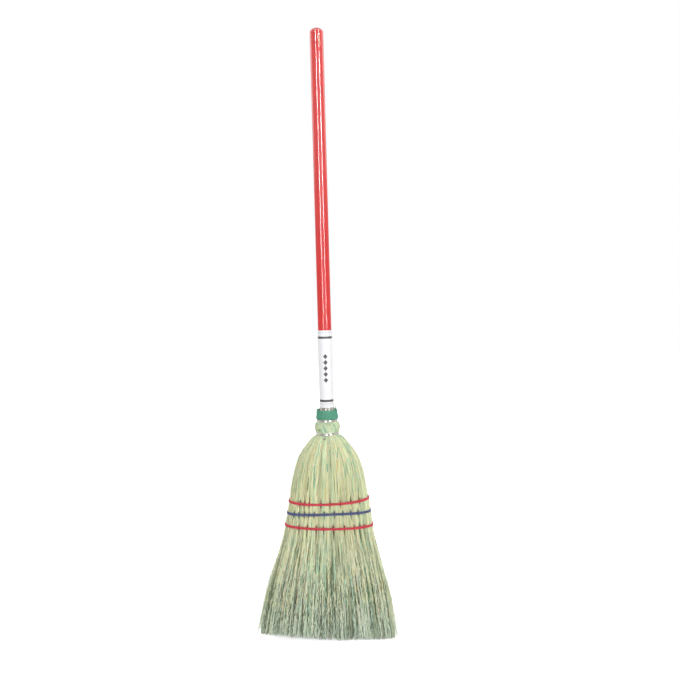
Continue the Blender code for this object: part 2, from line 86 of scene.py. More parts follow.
def length(name, description, default):
    """A size in the panel."""
    return bpy.props.FloatProperty(name=name, description=description, default=default, unit="LENGTH")


def hex_colour(name, description, default):
    """A colour in the panel, as sRGB hex."""
    return bpy.props.StringProperty(name=name, description=description, default=default)


def amount(name, description, default):
    """A count in the panel."""
    return bpy.props.IntProperty(name=name, description=description, default=default, min=10)


class HandleSettings(bpy.types.PropertyGroup):
    radius: length("Radius", "Radius of the turned stick", HANDLE_BOX[1].x)
    dome: length("Dome", "Height of the rounded top", 8.5 * MM)
    lacquer: hex_colour("Lacquer", "Colour of the lacquer, as hex", "#DF312D")
    bare_wood: hex_colour("Bare wood", "Colour of the chipped patch, as hex", "#DEB496")


class LabelSettings(bpy.types.PropertyGroup):
    paper: hex_colour("Paper", "Colour of the paper, as hex", "#F4F4F7")
    ink: hex_colour("Ink", "Colour of the bands, as hex", "#413B3E")
    band_height: length("Band height", "Height of a black band", 4.8 * MM)
    band_margin: length("Band margin", "From the label's end to the middle of a band", 16.1 * MM)


class CollarSettings(bpy.types.PropertyGroup):
    tape: hex_colour("Tape", "Colour of the tape, as hex", "#5A9F85")
    wrinkle: length("Wrinkle", "Height of the tape's folds", 0.5 * MM)


class WireSettings(bpy.types.PropertyGroup):
    thickness: length("Thickness", "Diameter of the wire", 1.72 * MM)
    pitch: length("Pitch", "From one turn to the next", 1.85 * MM)
    metal: hex_colour("Metal", "Colour of the tinned wire, as hex", "#BDBBB6")


class StrawSettings(bpy.types.PropertyGroup):
    long_count: amount("Long stalks", "Stalks on each face that start under the collar", 260)
    short_count: amount("Short stalks", "Stalks on each face that start in the shoulders", 420)
    wisp_count: amount("Wisps", "Clinging wisps in each quarter of the fringe", 300)
    fringe_count: amount("Fringe fibres", "Fine fibres in each quarter of the fringe", 950)
    stray_count: bpy.props.IntProperty(
        name="Stray fibres", description="Fibres that stand off each quarter's edge", default=70, min=0
    )
    inner_count: amount("Inner straws", "Straws inside the brush, in each half", 900)
    width: length("Width", "Width of a straw in the head", 1.7 * MM)
    tip_width: length("Tip width", "Width of a straw at its tip", 0.75 * MM)
    wave: length("Wave", "How far a loose straw strays", 10.0 * MM)
    seed: bpy.props.IntProperty(name="Seed", description="Seed of the straws' places", default=11)


class TwineSettings(bpy.types.PropertyGroup):
    thickness: length("Thickness", "Diameter of one turn of twine", 2.8 * MM)
    pitch: length("Pitch", "From one turn of a band to the next", 2.6 * MM)
    red: hex_colour("Red", "Colour of the outer rows, as hex", "#DD2E44")
    blue: hex_colour("Blue", "Colour of the middle row, as hex", "#475387")


class StageSettings(bpy.types.PropertyGroup):
    distance: length("Distance", "From the camera to the broom", 1.881)
    eye_height: length("Eye height", "Height of the camera", 0.8075)
    aside: length("Aside", "How far right of the broom the camera is", 0.0331)
    pitch: bpy.props.FloatProperty(
        name="Pitch", description="How far the camera looks down", default=radians(4.2), subtype="ANGLE"
    )
    roll: bpy.props.FloatProperty(
        name="Roll", description="How far the camera leans", default=radians(-1.52), subtype="ANGLE"
    )
    focal_pixels: bpy.props.FloatProperty(
        name="Focal length", description="Focal length in pixels of the square image", default=858.0
    )


SETTINGS = {
    "handle": HandleSettings,
    "label": LabelSettings,
    "collar": CollarSettings,
    "wire": WireSettings,
    "straw": StrawSettings,
    "twine": TwineSettings,
    "stage": StageSettings,
}


def settings(part):
    return getattr(bpy.context.scene, "broom_" + part)


# Small helpers


def linear(code):
    """An sRGB hex colour as the linear RGBA that a shader reads."""
    channels = [int(code[i : i + 2], 16) / 255 for i in (1, 3, 5)]
    return (*[c / 12.92 if c <= 0.04045 else ((c + 0.055) / 1.055) ** 2.4 for c in channels], 1.0)


# The kinds of node that are used most
MATH = "ShaderNodeMath"
MIX = "ShaderNodeMix"
RAMP = "ShaderNodeValToRGB"
RANGE = "ShaderNodeMapRange"
VECTOR = "ShaderNodeVectorMath"
NOISE = "ShaderNodeTexNoise"


# Settings of a mix of colours: one that blends, and one that darkens
BLEND = {"data_type": "RGBA"}
SHADE = {"data_type": "RGBA", "blend_type": "MULTIPLY"}


def fill(tree, item, inputs):
    """Fills a node's inputs, in order or by place or name, with values, hex colours or outputs to link."""
    for key, value in inputs.items() if isinstance(inputs, dict) else enumerate(inputs):
        socket = item.inputs[key]
        if isinstance(value, bpy.types.NodeSocket):
            tree.links.new(value, socket)
        elif isinstance(value, str) and socket.type == "RGBA":
            socket.default_value = linear(value)
        else:
            socket.default_value = value


def add(tree, kind, inputs=(), stops=(), **values):
    """Adds a node with its settings and links, and returns the first output that it has in use. The stops
    of a colour ramp are (position, hex colour)."""
    item = tree.nodes.new(kind)
    for key, value in values.items():
        setattr(item, key, value)
    fill(tree, item, inputs)
    if stops:
        elements = item.color_ramp.elements
        while len(elements) < len(stops):
            elements.new(1.0)
        for element, (position, colour) in zip(elements, stops):
            element.position = position
            element.color = linear(colour)
    return next((socket for socket in item.outputs if socket.enabled), item)


def new_material(name):
    """An empty node material with its shader and output, as (material, tree, shader)."""
    material = bpy.data.materials.new(name)
    material.use_nodes = True
    tree = material.node_tree
    tree.nodes.clear()
    surface = add(tree, "ShaderNodeBsdfPrincipled")
    add(tree, "ShaderNodeOutputMaterial", {"Surface": surface})
    return material, tree, surface.node


def object_place(tree):
    """The Object coordinate."""
    return add(tree, "ShaderNodeTexCoord").node.outputs["Object"]


def object_xyz(tree):
    """The Object coordinate and its three parts."""
    place = object_place(tree)
    return place, *add(tree, "ShaderNodeSeparateXYZ", (place,)).node.outputs


def grain(tree, place, width, detail=2.0, stretch=(1.0, 1.0, 1.0)):
    """Soft random blotches of a width, from 0 to 1. A stretch below 1 draws them out along its axis."""
    spread = add(tree, "ShaderNodeMapping", {"Vector": place, "Scale": stretch})
    return add(tree, NOISE, {"Vector": spread, "Scale": 1 / width, "Detail": detail})


def make_object(name, mesh, material=None):
    item = bpy.data.objects.new(name, mesh)
    bpy.context.scene.collection.objects.link(item)
    if material:
        mesh.materials.append(material)
    return item


def skin_mesh(name, rings, closed=False, capped=False):
    """A smooth mesh over rings of points, each of one point or as many as the rest: closed into a loop, or
    capped at its two ends."""
    bm = bmesh.new()
    rings = [[bm.verts.new(place) for place in ring] for ring in rings]
    segments = max(map(len, rings))
    for upper, lower in [*zip(rings, rings[1:]), *([(rings[-1], rings[0])] if closed else [])]:
        for i in range(segments):
            j = (i + 1) % segments
            corners = [ring[k % len(ring)] for ring, k in ((upper, i), (lower, i), (lower, j), (upper, j))]
            bm.faces.new(list(dict.fromkeys(corners)))
    if capped:
        bm.faces.new(rings[0])
        bm.faces.new(rings[-1][::-1])
    bmesh.ops.recalc_face_normals(bm, faces=bm.faces)
    mesh = bpy.data.meshes.new(name)
    bm.to_mesh(mesh)
    bm.free()
    mesh.shade_smooth()
    return mesh


def turned_mesh(name, profile, segments, shift=None):
    """A closed solid of revolution through (radius, z) points, moved point by point by shift(angle, r, z).
    The profile runs down the outside; a closed ring is one whose first and last points are off the axis."""
    rings = []
    for radius, z in profile:
        ring = []
        for i in range(segments if radius > 0 else 1):
            angle = tau * i / segments
            r = radius + (shift(angle, radius, z) if shift and radius > 0 else 0)
            ring.append((r * cos(angle), r * sin(angle), z))
        rings.append(ring)
    mesh = skin_mesh(name, rings, closed=profile[0][0] > 0)
    mesh.set_sharp_from_angle(angle=radians(40))
    return mesh


def finish_piece(item, slot, *nodes):
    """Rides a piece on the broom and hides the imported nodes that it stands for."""
    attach(item, BODY)
    if nodes:
        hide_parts(*nodes)


# Tubes that follow a path, made by Geometry Nodes


def tube_tree():
    """The node tree that turns edges into tubes: each edge chain is a straw, a wire or a twine."""
    name = "Tubes Along Edges"
    if name in bpy.data.node_groups:
        return bpy.data.node_groups[name]
    tree = bpy.data.node_groups.new(name, "GeometryNodeTree")
    sockets = (
        ("Geometry", "INPUT", "NodeSocketGeometry", None),
        ("Sides", "INPUT", "NodeSocketInt", 6),
        ("Wave", "INPUT", "NodeSocketFloat", 0.0),
        ("Wave Length", "INPUT", "NodeSocketFloat", 30.0 * MM),
        ("Lobe Depth", "INPUT", "NodeSocketFloat", 0.0),
        ("Lobes", "INPUT", "NodeSocketInt", 3),
        ("Material", "INPUT", "NodeSocketMaterial", None),
        ("Geometry", "OUTPUT", "NodeSocketGeometry", None),
    )
    for label, side, kind, value in sockets:
        socket = tree.interface.new_socket(label, in_out=side, socket_type=kind)
        if value is not None:
            socket.default_value = value
    given = add(tree, "NodeGroupInput").node.outputs
    lines = add(tree, "GeometryNodeMeshToCurve", {"Mesh": given["Geometry"]})
    radius, free, twist, phase = (
        add(tree, "GeometryNodeInputNamedAttribute", {"Name": key}, data_type="FLOAT")
        for key in ("radius", "free", "twist", "phase")
    )
    point = add(tree, "GeometryNodeInputPosition")
    per_wave = add(tree, MATH, (1.0, given["Wave Length"]), operation="DIVIDE")
    step = add(tree, VECTOR, {0: point, "Scale": per_wave}, operation="SCALE")
    field = add(tree, NOISE, {"Vector": step, "W": phase, "Detail": 1.0}, noise_dimensions="4D").node
    centred = add(tree, VECTOR, (field.outputs["Color"], (0.5, 0.5, 0.5)), operation="SUBTRACT")
    looseness = add(tree, MATH, (free, given["Wave"]), operation="MULTIPLY")
    stray = add(tree, VECTOR, {0: centred, "Scale": looseness}, operation="SCALE")
    flat = add(tree, VECTOR, (stray, (1.0, 1.0, 0.0)), operation="MULTIPLY")
    moved = add(tree, "GeometryNodeSetPosition", {"Geometry": lines, "Offset": flat})
    thick = add(tree, "GeometryNodeSetCurveRadius", {"Curve": moved, "Radius": radius})
    turned = add(tree, "GeometryNodeSetCurveTilt", {"Curve": thick, "Tilt": twist})
    section = {"Resolution": given["Sides"], "Radius": 1.0}
    ring = add(tree, "GeometryNodeCurvePrimitiveCircle", section, mode="RADIUS")
    turn = add(tree, MATH, (add(tree, "GeometryNodeInputIndex"), tau), operation="MULTIPLY")
    around = add(tree, MATH, (turn, given["Sides"]), operation="DIVIDE")
    lobes = add(tree, MATH, (around, given["Lobes"]), operation="MULTIPLY")
    swing = add(tree, MATH, (lobes,), operation="SINE")
    swell = add(tree, MATH, (swing, given["Lobe Depth"], 1.0), operation="MULTIPLY_ADD")
    ring_place = add(tree, VECTOR, {0: point, "Scale": swell}, operation="SCALE")
    lobed = add(tree, "GeometryNodeSetPosition", {"Geometry": ring, "Position": ring_place})
    width = add(tree, "GeometryNodeInputRadius")
    sweep = {"Curve": turned, "Profile Curve": lobed, "Scale": width, "Fill Caps": True}
    tube = add(tree, "GeometryNodeCurveToMesh", sweep)
    real = add(tree, "GeometryNodeRealizeInstances", {"Geometry": tube})
    dressed = add(tree, "GeometryNodeSetMaterial", {"Geometry": real, "Material": given["Material"]})
    add(tree, "NodeGroupOutput", {"Geometry": dressed})
    return tree


def path_mesh(name, groups):
    """Edges along chains. A group is (chains, attributes): an array of (chain, point, xyz), and per name an
    array that fits (chain, point)."""
    places, links, values = [], [], {key: [] for key in groups[0][1]}
    base = 0
    for chains, attributes in groups:
        count, points = chains.shape[:2]
        first = base + np.arange(count)[:, None] * points + np.arange(points - 1)[None, :]
        links.append(np.stack([first, first + 1], -1).reshape(-1))
        places.append(chains.reshape(-1))
        for key, value in attributes.items():
            values[key].append(np.broadcast_to(value, (count, points)).reshape(-1))
        base += count * points
    mesh = bpy.data.meshes.new(name + "_paths")
    mesh.vertices.add(base)
    mesh.vertices.foreach_set("co", np.concatenate(places).astype(np.float32))
    edges = np.concatenate(links).astype(np.int32)
    mesh.edges.add(len(edges) // 2)
    mesh.edges.foreach_set("vertices", edges)
    for key, parts in values.items():
        layer = mesh.attributes.new(key, "FLOAT", "POINT")
        layer.data.foreach_set("value", np.concatenate(parts).astype(np.float32))
    return mesh


def tubes(name, groups, material, **inputs):
    """An object of tubes along the chains of path_mesh, as a plain mesh."""
    mesh = path_mesh(name, groups)
    item = make_object(name, mesh)
    modifier = item.modifiers.new("Tubes", "NODES")
    modifier.node_group = tube_tree()
    identifiers = {
        socket.name: socket.identifier
        for socket in modifier.node_group.interface.items_tree
        if socket.in_out == "INPUT"
    }
    for key, value in {"Material": material, **inputs}.items():
        modifier[identifiers[key]] = value
    bpy.context.view_layer.update()
    evaluated = item.evaluated_get(bpy.context.evaluated_depsgraph_get())
    result = bpy.data.meshes.new_from_object(evaluated)
    item.modifiers.remove(modifier)
    item.data = result
    item.data.name = name
    bpy.data.meshes.remove(mesh)
    result.shade_smooth()
    return item


# The head's shape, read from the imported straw


def unique_levels(nodes):
    """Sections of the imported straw, from the top: arrays of z, left, right and half thickness."""
    corners = np.array([v.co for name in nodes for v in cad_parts[name].data.vertices])
    corners = np.unique(corners.round(5), axis=0)
    heights, counts = np.unique(corners[:, 2].round(4), return_counts=True)
    backing = heights[counts > 2 * MIN_SECTION_POINTS]
    rows = []
    for z in backing[::-1]:
        ring = corners[abs(corners[:, 2] - z) < SECTION_SLACK]
        rows.append((z, -ring[:, 0].min(), ring[:, 0].max(), abs(ring[:, 1]).max()))
    return np.array(rows)


MIN_SECTION_POINTS = 25
SECTION_SLACK = 0.1 * MM
# The sections from here up to just under the collar's top are lifted a little
BOTTLE_Z = COLLAR_BOX[0].z - 45.0 * MM
BUTTS_HELD = 8.0 * MM


def head_levels():
    """The sections above the free strands: the strands' own tips lie below the last wide section."""
    rows = unique_levels(("hurl_front", "hurl_back"))
    return rows[rows[:, 0] > HURL_BOX[0].z + (LABEL_BOX[0].z - HURL_BOX[0].z) / 3]


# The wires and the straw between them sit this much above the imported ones
NECK_LIFT = 2.0 * MM
LEVELS = head_levels()
LEVELS[(LEVELS[:, 0] > BOTTLE_Z) & (LEVELS[:, 0] < COLLAR_BOX[1].z - BUTTS_HELD), 0] += NECK_LIFT
BUTT_Z = LEVELS[0, 0]
BACKING_Z = LEVELS[-1, 0]
# The neck is where the head is no wider than this
NECK_WIDTH = LEVELS[0, 1] * 1.15
NECK_Z = LEVELS[LEVELS[:, 1] < NECK_WIDTH][-1, 0]
WIDE_Z = (NECK_Z + BACKING_Z) / 2
# The bulge between the wires is fuller at its shoulders than its few sections make it
BULGE_FULLNESS = 0.3
IN_BULGE = (LEVELS[:, 0] > NECK_Z) & (LEVELS[:, 1] > NECK_WIDTH)
BULGE_Z = LEVELS[IN_BULGE][LEVELS[IN_BULGE][:, 1].argmax(), 0]
LEVELS[IN_BULGE, 0] += (LEVELS[IN_BULGE, 0] - BULGE_Z) * BULGE_FULLNESS
# Below the backing the head flares beyond the solid's tips, thins, bellies out and is worn on the left
FLARE_LEFT = 9.0 * MM
FLARE_RIGHT = 6.5 * MM
SPREAD_LEFT = (FLARE_LEFT - HURL_BOX[0].x) / LEVELS[-1, 1]
SPREAD_RIGHT = (FLARE_RIGHT + HURL_BOX[1].x) / LEVELS[-1, 2]
THINNING = 0.92
BELLY = 0.045
WORN_SLOPE = 0.1
SLOPE_START_X = 13.0 * MM
# How angles spread across the head, and how square its section is from the floor up
SPACING_POWER = 2.5
SECTION_POWERS = ((0.0, 9.0), (BACKING_Z / 2, 4.5), (BACKING_Z, 2.6), (WIDE_Z, 2.5), (NECK_Z, 2.0))


def across_levels(z, column):
    return np.interp(-z, -LEVELS[:, 0], LEVELS[:, column])


def half_width(z, rightwards):
    """The head's half width at a height, on its right or its left, with the flare under the backing."""
    top = np.maximum(z, BACKING_Z)
    fall = np.clip((BACKING_Z - z) / BACKING_Z, 0.0, 1.0)
    spread = np.where(rightwards, SPREAD_RIGHT, SPREAD_LEFT)
    half = np.where(rightwards, across_levels(top, 2), across_levels(top, 1))
    return half * (1 + (spread - 1) * fall + BELLY * np.sin(pi * fall))


def on_head(z, angle, inset):
    """Points of the head at heights and angles, inset from its skin. Below the backing it fans out."""
    power = np.interp(z, *zip(*SECTION_POWERS))
    c, s = np.cos(angle), np.sin(angle)
    across = abs(c) ** (2 / SPACING_POWER)
    outwards = (1 - across**power) ** (1 / power)
    fall = np.clip((BACKING_Z - z) / BACKING_Z, 0.0, 1.0)
    thickness = across_levels(np.maximum(z, BACKING_Z), 3) * (1 + (THINNING - 1) * fall)
    x = np.sign(c) * across * (half_width(z, c >= 0) - inset)
    y = np.sign(s) * outwards * (thickness - inset)
    return np.stack([x, y, z + 0 * angle], -1)


# Stitched rows: height at the sides, sag in the middle, fall to the right, and the stitches' places as
# shares of the half width
ROWS = {
    "upper": (316.3 * MM, 5.0 * MM, -3.9 * MM, (-0.74, -0.62, -0.50, -0.21, 0.02, 0.28, 0.56, 0.77)),
    "middle": (
        288.5 * MM, -0.4 * MM, -1.4 * MM, (-0.85, -0.73, -0.60, -0.49, -0.37, -0.13, 0.12, 0.33, 0.53, 0.71)
    ),
    "lower": (259.6 * MM, 3.6 * MM, 3.9 * MM, (-0.70, -0.51, -0.31, -0.14, 0.08, 0.34, 0.57, 0.70, 0.80)),
}

# Partings seen in the photograph: share of the half width, middle height, half length, depth, half width
PARTINGS = (
    (-0.57, 357 * MM, 16 * MM, 8.0 * MM, 1.3 * MM),
    (-0.52, 418 * MM, 22 * MM, 5.5 * MM, 1.0 * MM),
    (-0.62, 412 * MM, 24 * MM, 5.5 * MM, 1.0 * MM),
    (-0.40, 424 * MM, 20 * MM, 5.0 * MM, 1.0 * MM),
    (-0.78, 390 * MM, 30 * MM, 4.0 * MM, 0.9 * MM),
    (0.38, 420 * MM, 26 * MM, 1.8 * MM, 0.9 * MM),
    (0.63, 345 * MM, 24 * MM, 2.4 * MM, 1.0 * MM),
)
# How far a stitch draws the straw in: its depth, width and reach above and below
STITCH_DEPTH = 7.5 * MM
STITCH_WIDTH = 1.5 * MM
STITCH_UP = 9.0 * MM
STITCH_DOWN = 13.0 * MM
# How far straws part at the middle of a parting, and how far they puff out between two rows
OPENING = 1.3 * MM
PUFF = 1.2 * MM
HEAD_PARTINGS = 52
FRINGE_PARTINGS = 140


def row_height(row, across):
    side, sag, fall, _ = ROWS[row]
    return side - sag * (1 - across**2) - fall * across / 2


def face_partings(face):
    """Every parting of one face: share, middle height, reach above, reach below, depth and half width.
    The back is the front turned round, with its own loose partings."""
    rows = []
    for name, (*_, stitches) in ROWS.items():
        for k, share in enumerate(stitches):
            reach = 1 + (k * 7 % 5) / 3
            up = STITCH_UP * (reach if name == "upper" else 1)
            down = STITCH_DOWN * (reach if name == "lower" else 1)
            rows.append((share, row_height(name, share), up, down, STITCH_DEPTH, STITCH_WIDTH))
    rows += [(share, middle, half, half, depth, width) for share, middle, half, depth, width in PARTINGS]
    rng = np.random.default_rng(5 + face)
    for count, low, high, shortest, longest, deepest in (
        (HEAD_PARTINGS, 325 * MM, 440 * MM, 12 * MM, 38 * MM, 3.4 * MM),
        (FRINGE_PARTINGS, 0.0, 225 * MM, 15 * MM, 55 * MM, 4.6 * MM),
    ):
        for _ in range(count):
            half = rng.uniform(shortest, longest)
            depth, width = rng.uniform(0.4, 1.0) * deepest, rng.uniform(0.45, 0.95) * MM
            rows.append((rng.uniform(-0.98, 0.98), rng.uniform(low, high), half, half, depth, width))
    return np.array([(-face * share, *rest) for share, *rest in rows])


FACE_PARTINGS = {face: face_partings(face) for face in (-1, 1)}


def hollow(across, half, z, face):
    """How far the skin is drawn in and pushed aside at the partings, and puffed between the rows."""
    inwards = np.zeros(np.broadcast(across, z).shape)
    aside = np.zeros_like(inwards)
    for share, middle, up, down, depth, width in FACE_PARTINGS[face]:
        away = (across - share) * half / width
        near = np.exp(-(away**2)) * np.exp(-(((z - middle) / np.where(z > middle, up, down)) ** 2))
        inwards += depth * near
        aside += OPENING * away * near
    heights = [row_height(name, across) for name in ROWS]
    for upper, lower in zip(heights, heights[1:]):
        share = np.clip((upper - z) / (upper - lower), 0, 1)
        inwards -= PUFF * np.sin(pi * share)
    return inwards, aside


# How far round the straws slant from the shoulder wire up to their butts
SLANT_TURN = 0.85

# Distance between the points of a straw at a height: close where it bends, wide where it runs straight
POINT_STEPS = (
    (0.0, 9.0 * MM),
    (225 * MM, 9.0 * MM),
    (250 * MM, 6.5 * MM),
    (325 * MM, 6.5 * MM),
    (350 * MM, 14.0 * MM),
    (420 * MM, 12.0 * MM),
    (455 * MM, 4.2 * MM),
    (515 * MM, 3.8 * MM),
)


def point_ladder():
    """Heights from the floor to the butts with the wanted distance from each to the next."""
    heights = [0.0]
    while heights[-1] < BUTT_Z + 10 * MM:
        heights.append(heights[-1] + float(np.interp(heights[-1], *zip(*POINT_STEPS))))
    return np.array(heights)


LADDER = point_ladder()


def straw_heights(z_top, z_end, points):
    """Heights of each straw's points, from its top to its tip."""
    rungs = np.arange(len(LADDER))
    top, end = np.interp(z_top, LADDER, rungs), np.interp(z_end, LADDER, rungs)
    steps = np.linspace(0, 1, points)[None, :]
    return np.interp(top[:, None] + (end - top)[:, None] * steps, rungs, LADDER)


def straw_paths(angle, inset, z, face, drift):
    """Straws along the skin, as (straw, point, xyz), and how deep each point lies."""
    slant = SLANT_TURN * np.clip((z - NECK_Z) / (BUTT_Z - NECK_Z), 0, 1)
    fall = np.clip((BACKING_Z - z) / BACKING_Z, 0.0, 1.0)
    turned_angle = angle[:, None] - slant + drift[:, None] * fall
    narrow = np.clip((z - WIDE_Z) / (NECK_Z - WIDE_Z), 0, 1)
    skin = on_head(z, turned_angle, 0 * z)
    half = half_width(z, skin[..., 0] >= 0)
    dip, aside = hollow(skin[..., 0] / half, half, z, face)
    depth = inset * (1 - 0.6 * narrow) + dip * (1 - narrow)
    path = on_head(z, turned_angle, depth)
    path[..., 0] += aside * (1 - narrow)
    return path, depth


def worn_tip(angle, inset, ragged):
    """The height of each straw's tip: on the floor, higher towards the worn left corner and where ragged."""
    foot = on_head(0 * angle, angle, inset)[:, 0]
    return WORN_SLOPE * np.clip(SLOPE_START_X - foot, 0, None) + ragged


def smooth_noise(rng, angle, waves):
    """A smooth random value from 0 to 1 round the head, alike for neighbouring straws."""
    phases = rng.uniform(0, tau, waves)
    total = sum(np.sin(angle * (k + 5) * 3.1 + phases[k]) for k in range(waves))
    return 0.5 + 0.5 * total / (waves**0.5 * 1.2)


def straw_data(rng, angle, z, depth, width, tip_width, bundled=0.25):
    """Per point: radius, looseness and depth. Per straw: tint, shade, turn and phase."""
    count = len(z)
    down = np.clip((BACKING_Z + 30 * MM - z) / (BACKING_Z + 30 * MM), 0, 1)
    radius = (width[:, None] * (1 - down) + tip_width[:, None] * down) / 2
    radius[:, -1] *= 0.45
    tint = np.clip(bundled * smooth_noise(rng, angle, 16) + (1 - bundled) * rng.uniform(0, 1, count), 0, 1)
    return {
        "radius": radius,
        "free": 0.2 + 0.8 * down**1.2,
        "twist": rng.uniform(0, tau, count)[:, None],
        "phase": rng.uniform(0, 50, count)[:, None],
        "tint": tint[:, None],
        "shade": rng.uniform(0, 1, count)[:, None],
        "deep": np.clip(depth / DEEPEST, 0, 1),
    }


# At this depth under the skin a straw's painted shade is at its darkest
DEEPEST = 7.0 * MM


def skin_shares():
    """Angles over half the head, and the share of the skin's length up to each."""
    angles = np.linspace(0, pi, 400)
    skin = on_head(np.full(400, BACKING_Z), angles, np.zeros(400))
    lengths = np.concatenate([[0], np.cumsum(np.linalg.norm(np.diff(skin, axis=0), axis=1))])
    return angles, lengths / lengths[-1]


def face_angle(face, share):
    """The angle at a share of a face's skin, from its right side to its left. face is -1 in front."""
    angles, shares = SKIN_SHARES
    return face * np.interp(share, shares, angles)


SKIN_SHARES = skin_shares()


def head_straws(face, seed):
    """The stalks of one face, -1 the front and 1 the back: from under the collar, or from under their
    neighbours, into the fringe."""
    chosen = settings("straw")
    rng = np.random.default_rng(seed)
    groups = []
    for count, points, low, high, sunk in (
        (chosen.long_count, 50, BUTT_Z - 14 * MM, BUTT_Z - 2 * MM, 0.0),
        (chosen.short_count, 32, WIDE_Z - 10 * MM, NECK_Z - 8 * MM, 3.5 * MM),
    ):
        share = (np.arange(count) + rng.uniform(0, 1, count)) / count
        angle = face_angle(face, share)
        inset = (0.9 + 3.4 * rng.uniform(0, 1, count) ** 1.2) * MM
        z_top = rng.uniform(low, high, count)
        z = straw_heights(z_top, rng.uniform(90 * MM, 200 * MM, count), points)
        buried = sunk * np.exp(-(z_top[:, None] - z) / (16 * MM))
        path, depth = straw_paths(angle, inset[:, None] + buried, z, face, rng.normal(0, 0.02, count))
        width = chosen.width * rng.uniform(0.55, 1.45, count)
        groups.append((path, straw_data(rng, angle, z, depth, width, width * 0.5)))
    return groups


# This much of the fringe fans out over the head's narrow sides
SIDE_SHARE = 0.14
# This much of it ends short of the floor, by a height between these two
SHORT_SHARE = 0.22
SHORT_BY = (10 * MM, 100 * MM)


def fringe_straws(face, low_share, high_share, seed):
    """A part of one face's fringe, down to the floor: clinging wisps outside, fine fibres behind them."""
    chosen = settings("straw")
    rng = np.random.default_rng(seed)
    groups = []
    for count, shallow, deep, thin, thick, points in (
        (chosen.wisp_count, 0.3, 3.2, 1.7, 4.3, 30),
        (chosen.fringe_count, 1.4, 8.0, 0.8, 1.6, 24),
    ):
        share = low_share + (high_share - low_share) * (np.arange(count) + rng.uniform(0, 1, count)) / count
        angle = face_angle(face, share)
        narrow_side = rng.uniform(0, 1, count) < SIDE_SHARE
        fan = 10 ** rng.uniform(-6, -0.8, count)
        angle = np.where(narrow_side, face * (fan if low_share == 0 else pi - fan), angle)
        inset = (shallow + (deep - shallow) * rng.uniform(0, 1, count)) * MM
        z_top = rng.uniform(BACKING_Z - 60 * MM, BACKING_Z + 15 * MM, count)
        short = rng.uniform(0, 1, count) < SHORT_SHARE
        ragged = np.abs(rng.normal(0, 3.2 * MM, count)) + np.where(short, rng.uniform(*SHORT_BY, count), 0)
        z = straw_heights(z_top, worn_tip(angle, inset, ragged), points)
        buried = 2.5 * MM * np.exp(-(z_top[:, None] - z) / (20 * MM))
        drift = np.where(narrow_side, 0.0, rng.normal(0, 0.045, count))
        path, depth = straw_paths(angle, inset[:, None] + buried, z, face, drift)
        width = chosen.tip_width * rng.uniform(thin, thick, count)
        groups.append((path, straw_data(rng, angle, z, depth, width, width * 0.7, 0.08)))
    return groups


# Stray fibres stand in this share of the face's skin at its edge
STRAY_REACH = 0.045


def stray_straws(face, low_share, high_share, seed):
    """Pale single fibres that stand off the fringe's left or right edge."""
    chosen = settings("straw")
    rng = np.random.default_rng(seed)
    count = chosen.stray_count
    near_side = rng.uniform(0, 1, count) ** 1.6 * STRAY_REACH
    share = near_side if low_share == 0 else high_share - near_side
    angle = face_angle(face, share)
    z_end = worn_tip(angle, 0 * angle, 110 * MM * rng.uniform(0, 1, count) ** 1.6)
    z_top = z_end + rng.uniform(60, 120, count) * MM
    z = straw_heights(z_top, z_end, 20)
    fall = np.clip((z_top[:, None] - z) / (z_top - z_end)[:, None], 0, 1)
    inset = 1.5 * MM - rng.uniform(0, 10, count)[:, None] * MM * fall**1.5
    path, depth = straw_paths(angle, inset, z, face, rng.normal(0, 0.02, count))
    width = chosen.tip_width * rng.uniform(0.9, 1.7, count)
    data = straw_data(rng, angle, z, depth, width, width * 0.8, 0.0)
    data["tint"] = 0.3 + 0.4 * data["tint"]
    data["shade"] = 0.3 + 0.7 * data["shade"]
    return [(path, data)]


def inner_straws(face, seed):
    """The straw inside the brush, which shows through the fringe and from below."""
    chosen = settings("straw")
    rng = np.random.default_rng(seed)
    count = chosen.inner_count
    angle = face_angle(face, rng.uniform(0, 1, count))
    inset = rng.uniform(6 * MM, 30 * MM, count)
    z_top = rng.uniform(BACKING_Z - 5 * MM, BACKING_Z + 30 * MM, count)
    z = straw_heights(z_top, worn_tip(angle, inset, np.abs(rng.normal(0, 3.5 * MM, count))), 12)
    path, depth = straw_paths(angle, inset[:, None], z, face, rng.normal(0, 0.05, count))
    width = chosen.tip_width * rng.uniform(1.2, 2.2, count)
    return [(path, straw_data(rng, angle, z, depth, width, width * 0.7, 0.2))]


# Stalks that stand out in the photograph, in mm: x and z of the upper end, of the lower end, and the width
MARKED = {
    "Turquoise straw": ("#49C2B6", ((-9, 487, -2, 468, 2.0), (32, 457, 49, 429, 2.0))),
    "Green straw": (
        "#92CCA9",
        (
            (-30, 398, -32, 347, 2.4),
            (-2, 403, -2, 384, 2.2),
            (22, 438, 21, 414, 2.0),
            (39, 406, 38, 371, 2.2),
        ),
    ),
    "Leaf of the stalk": ("#6D9453", ((-19, 477, -15, 471, 2.8),)),
    "Ripe straw": ("#F7DC8B", ((20, 411, 19, 380, 2.2), (-8, 350, -8, 322, 1.8))),
    # Pale stalks, painted near white as a highlight where light glints along the straw
    "Bleached straw": (
        "#F4F3E8", ((53, 372, 74, 377, 0.9), (-47, 370, -42, 363, 1.2), (-62, 400, -76, 350, 1.0))
    ),
}


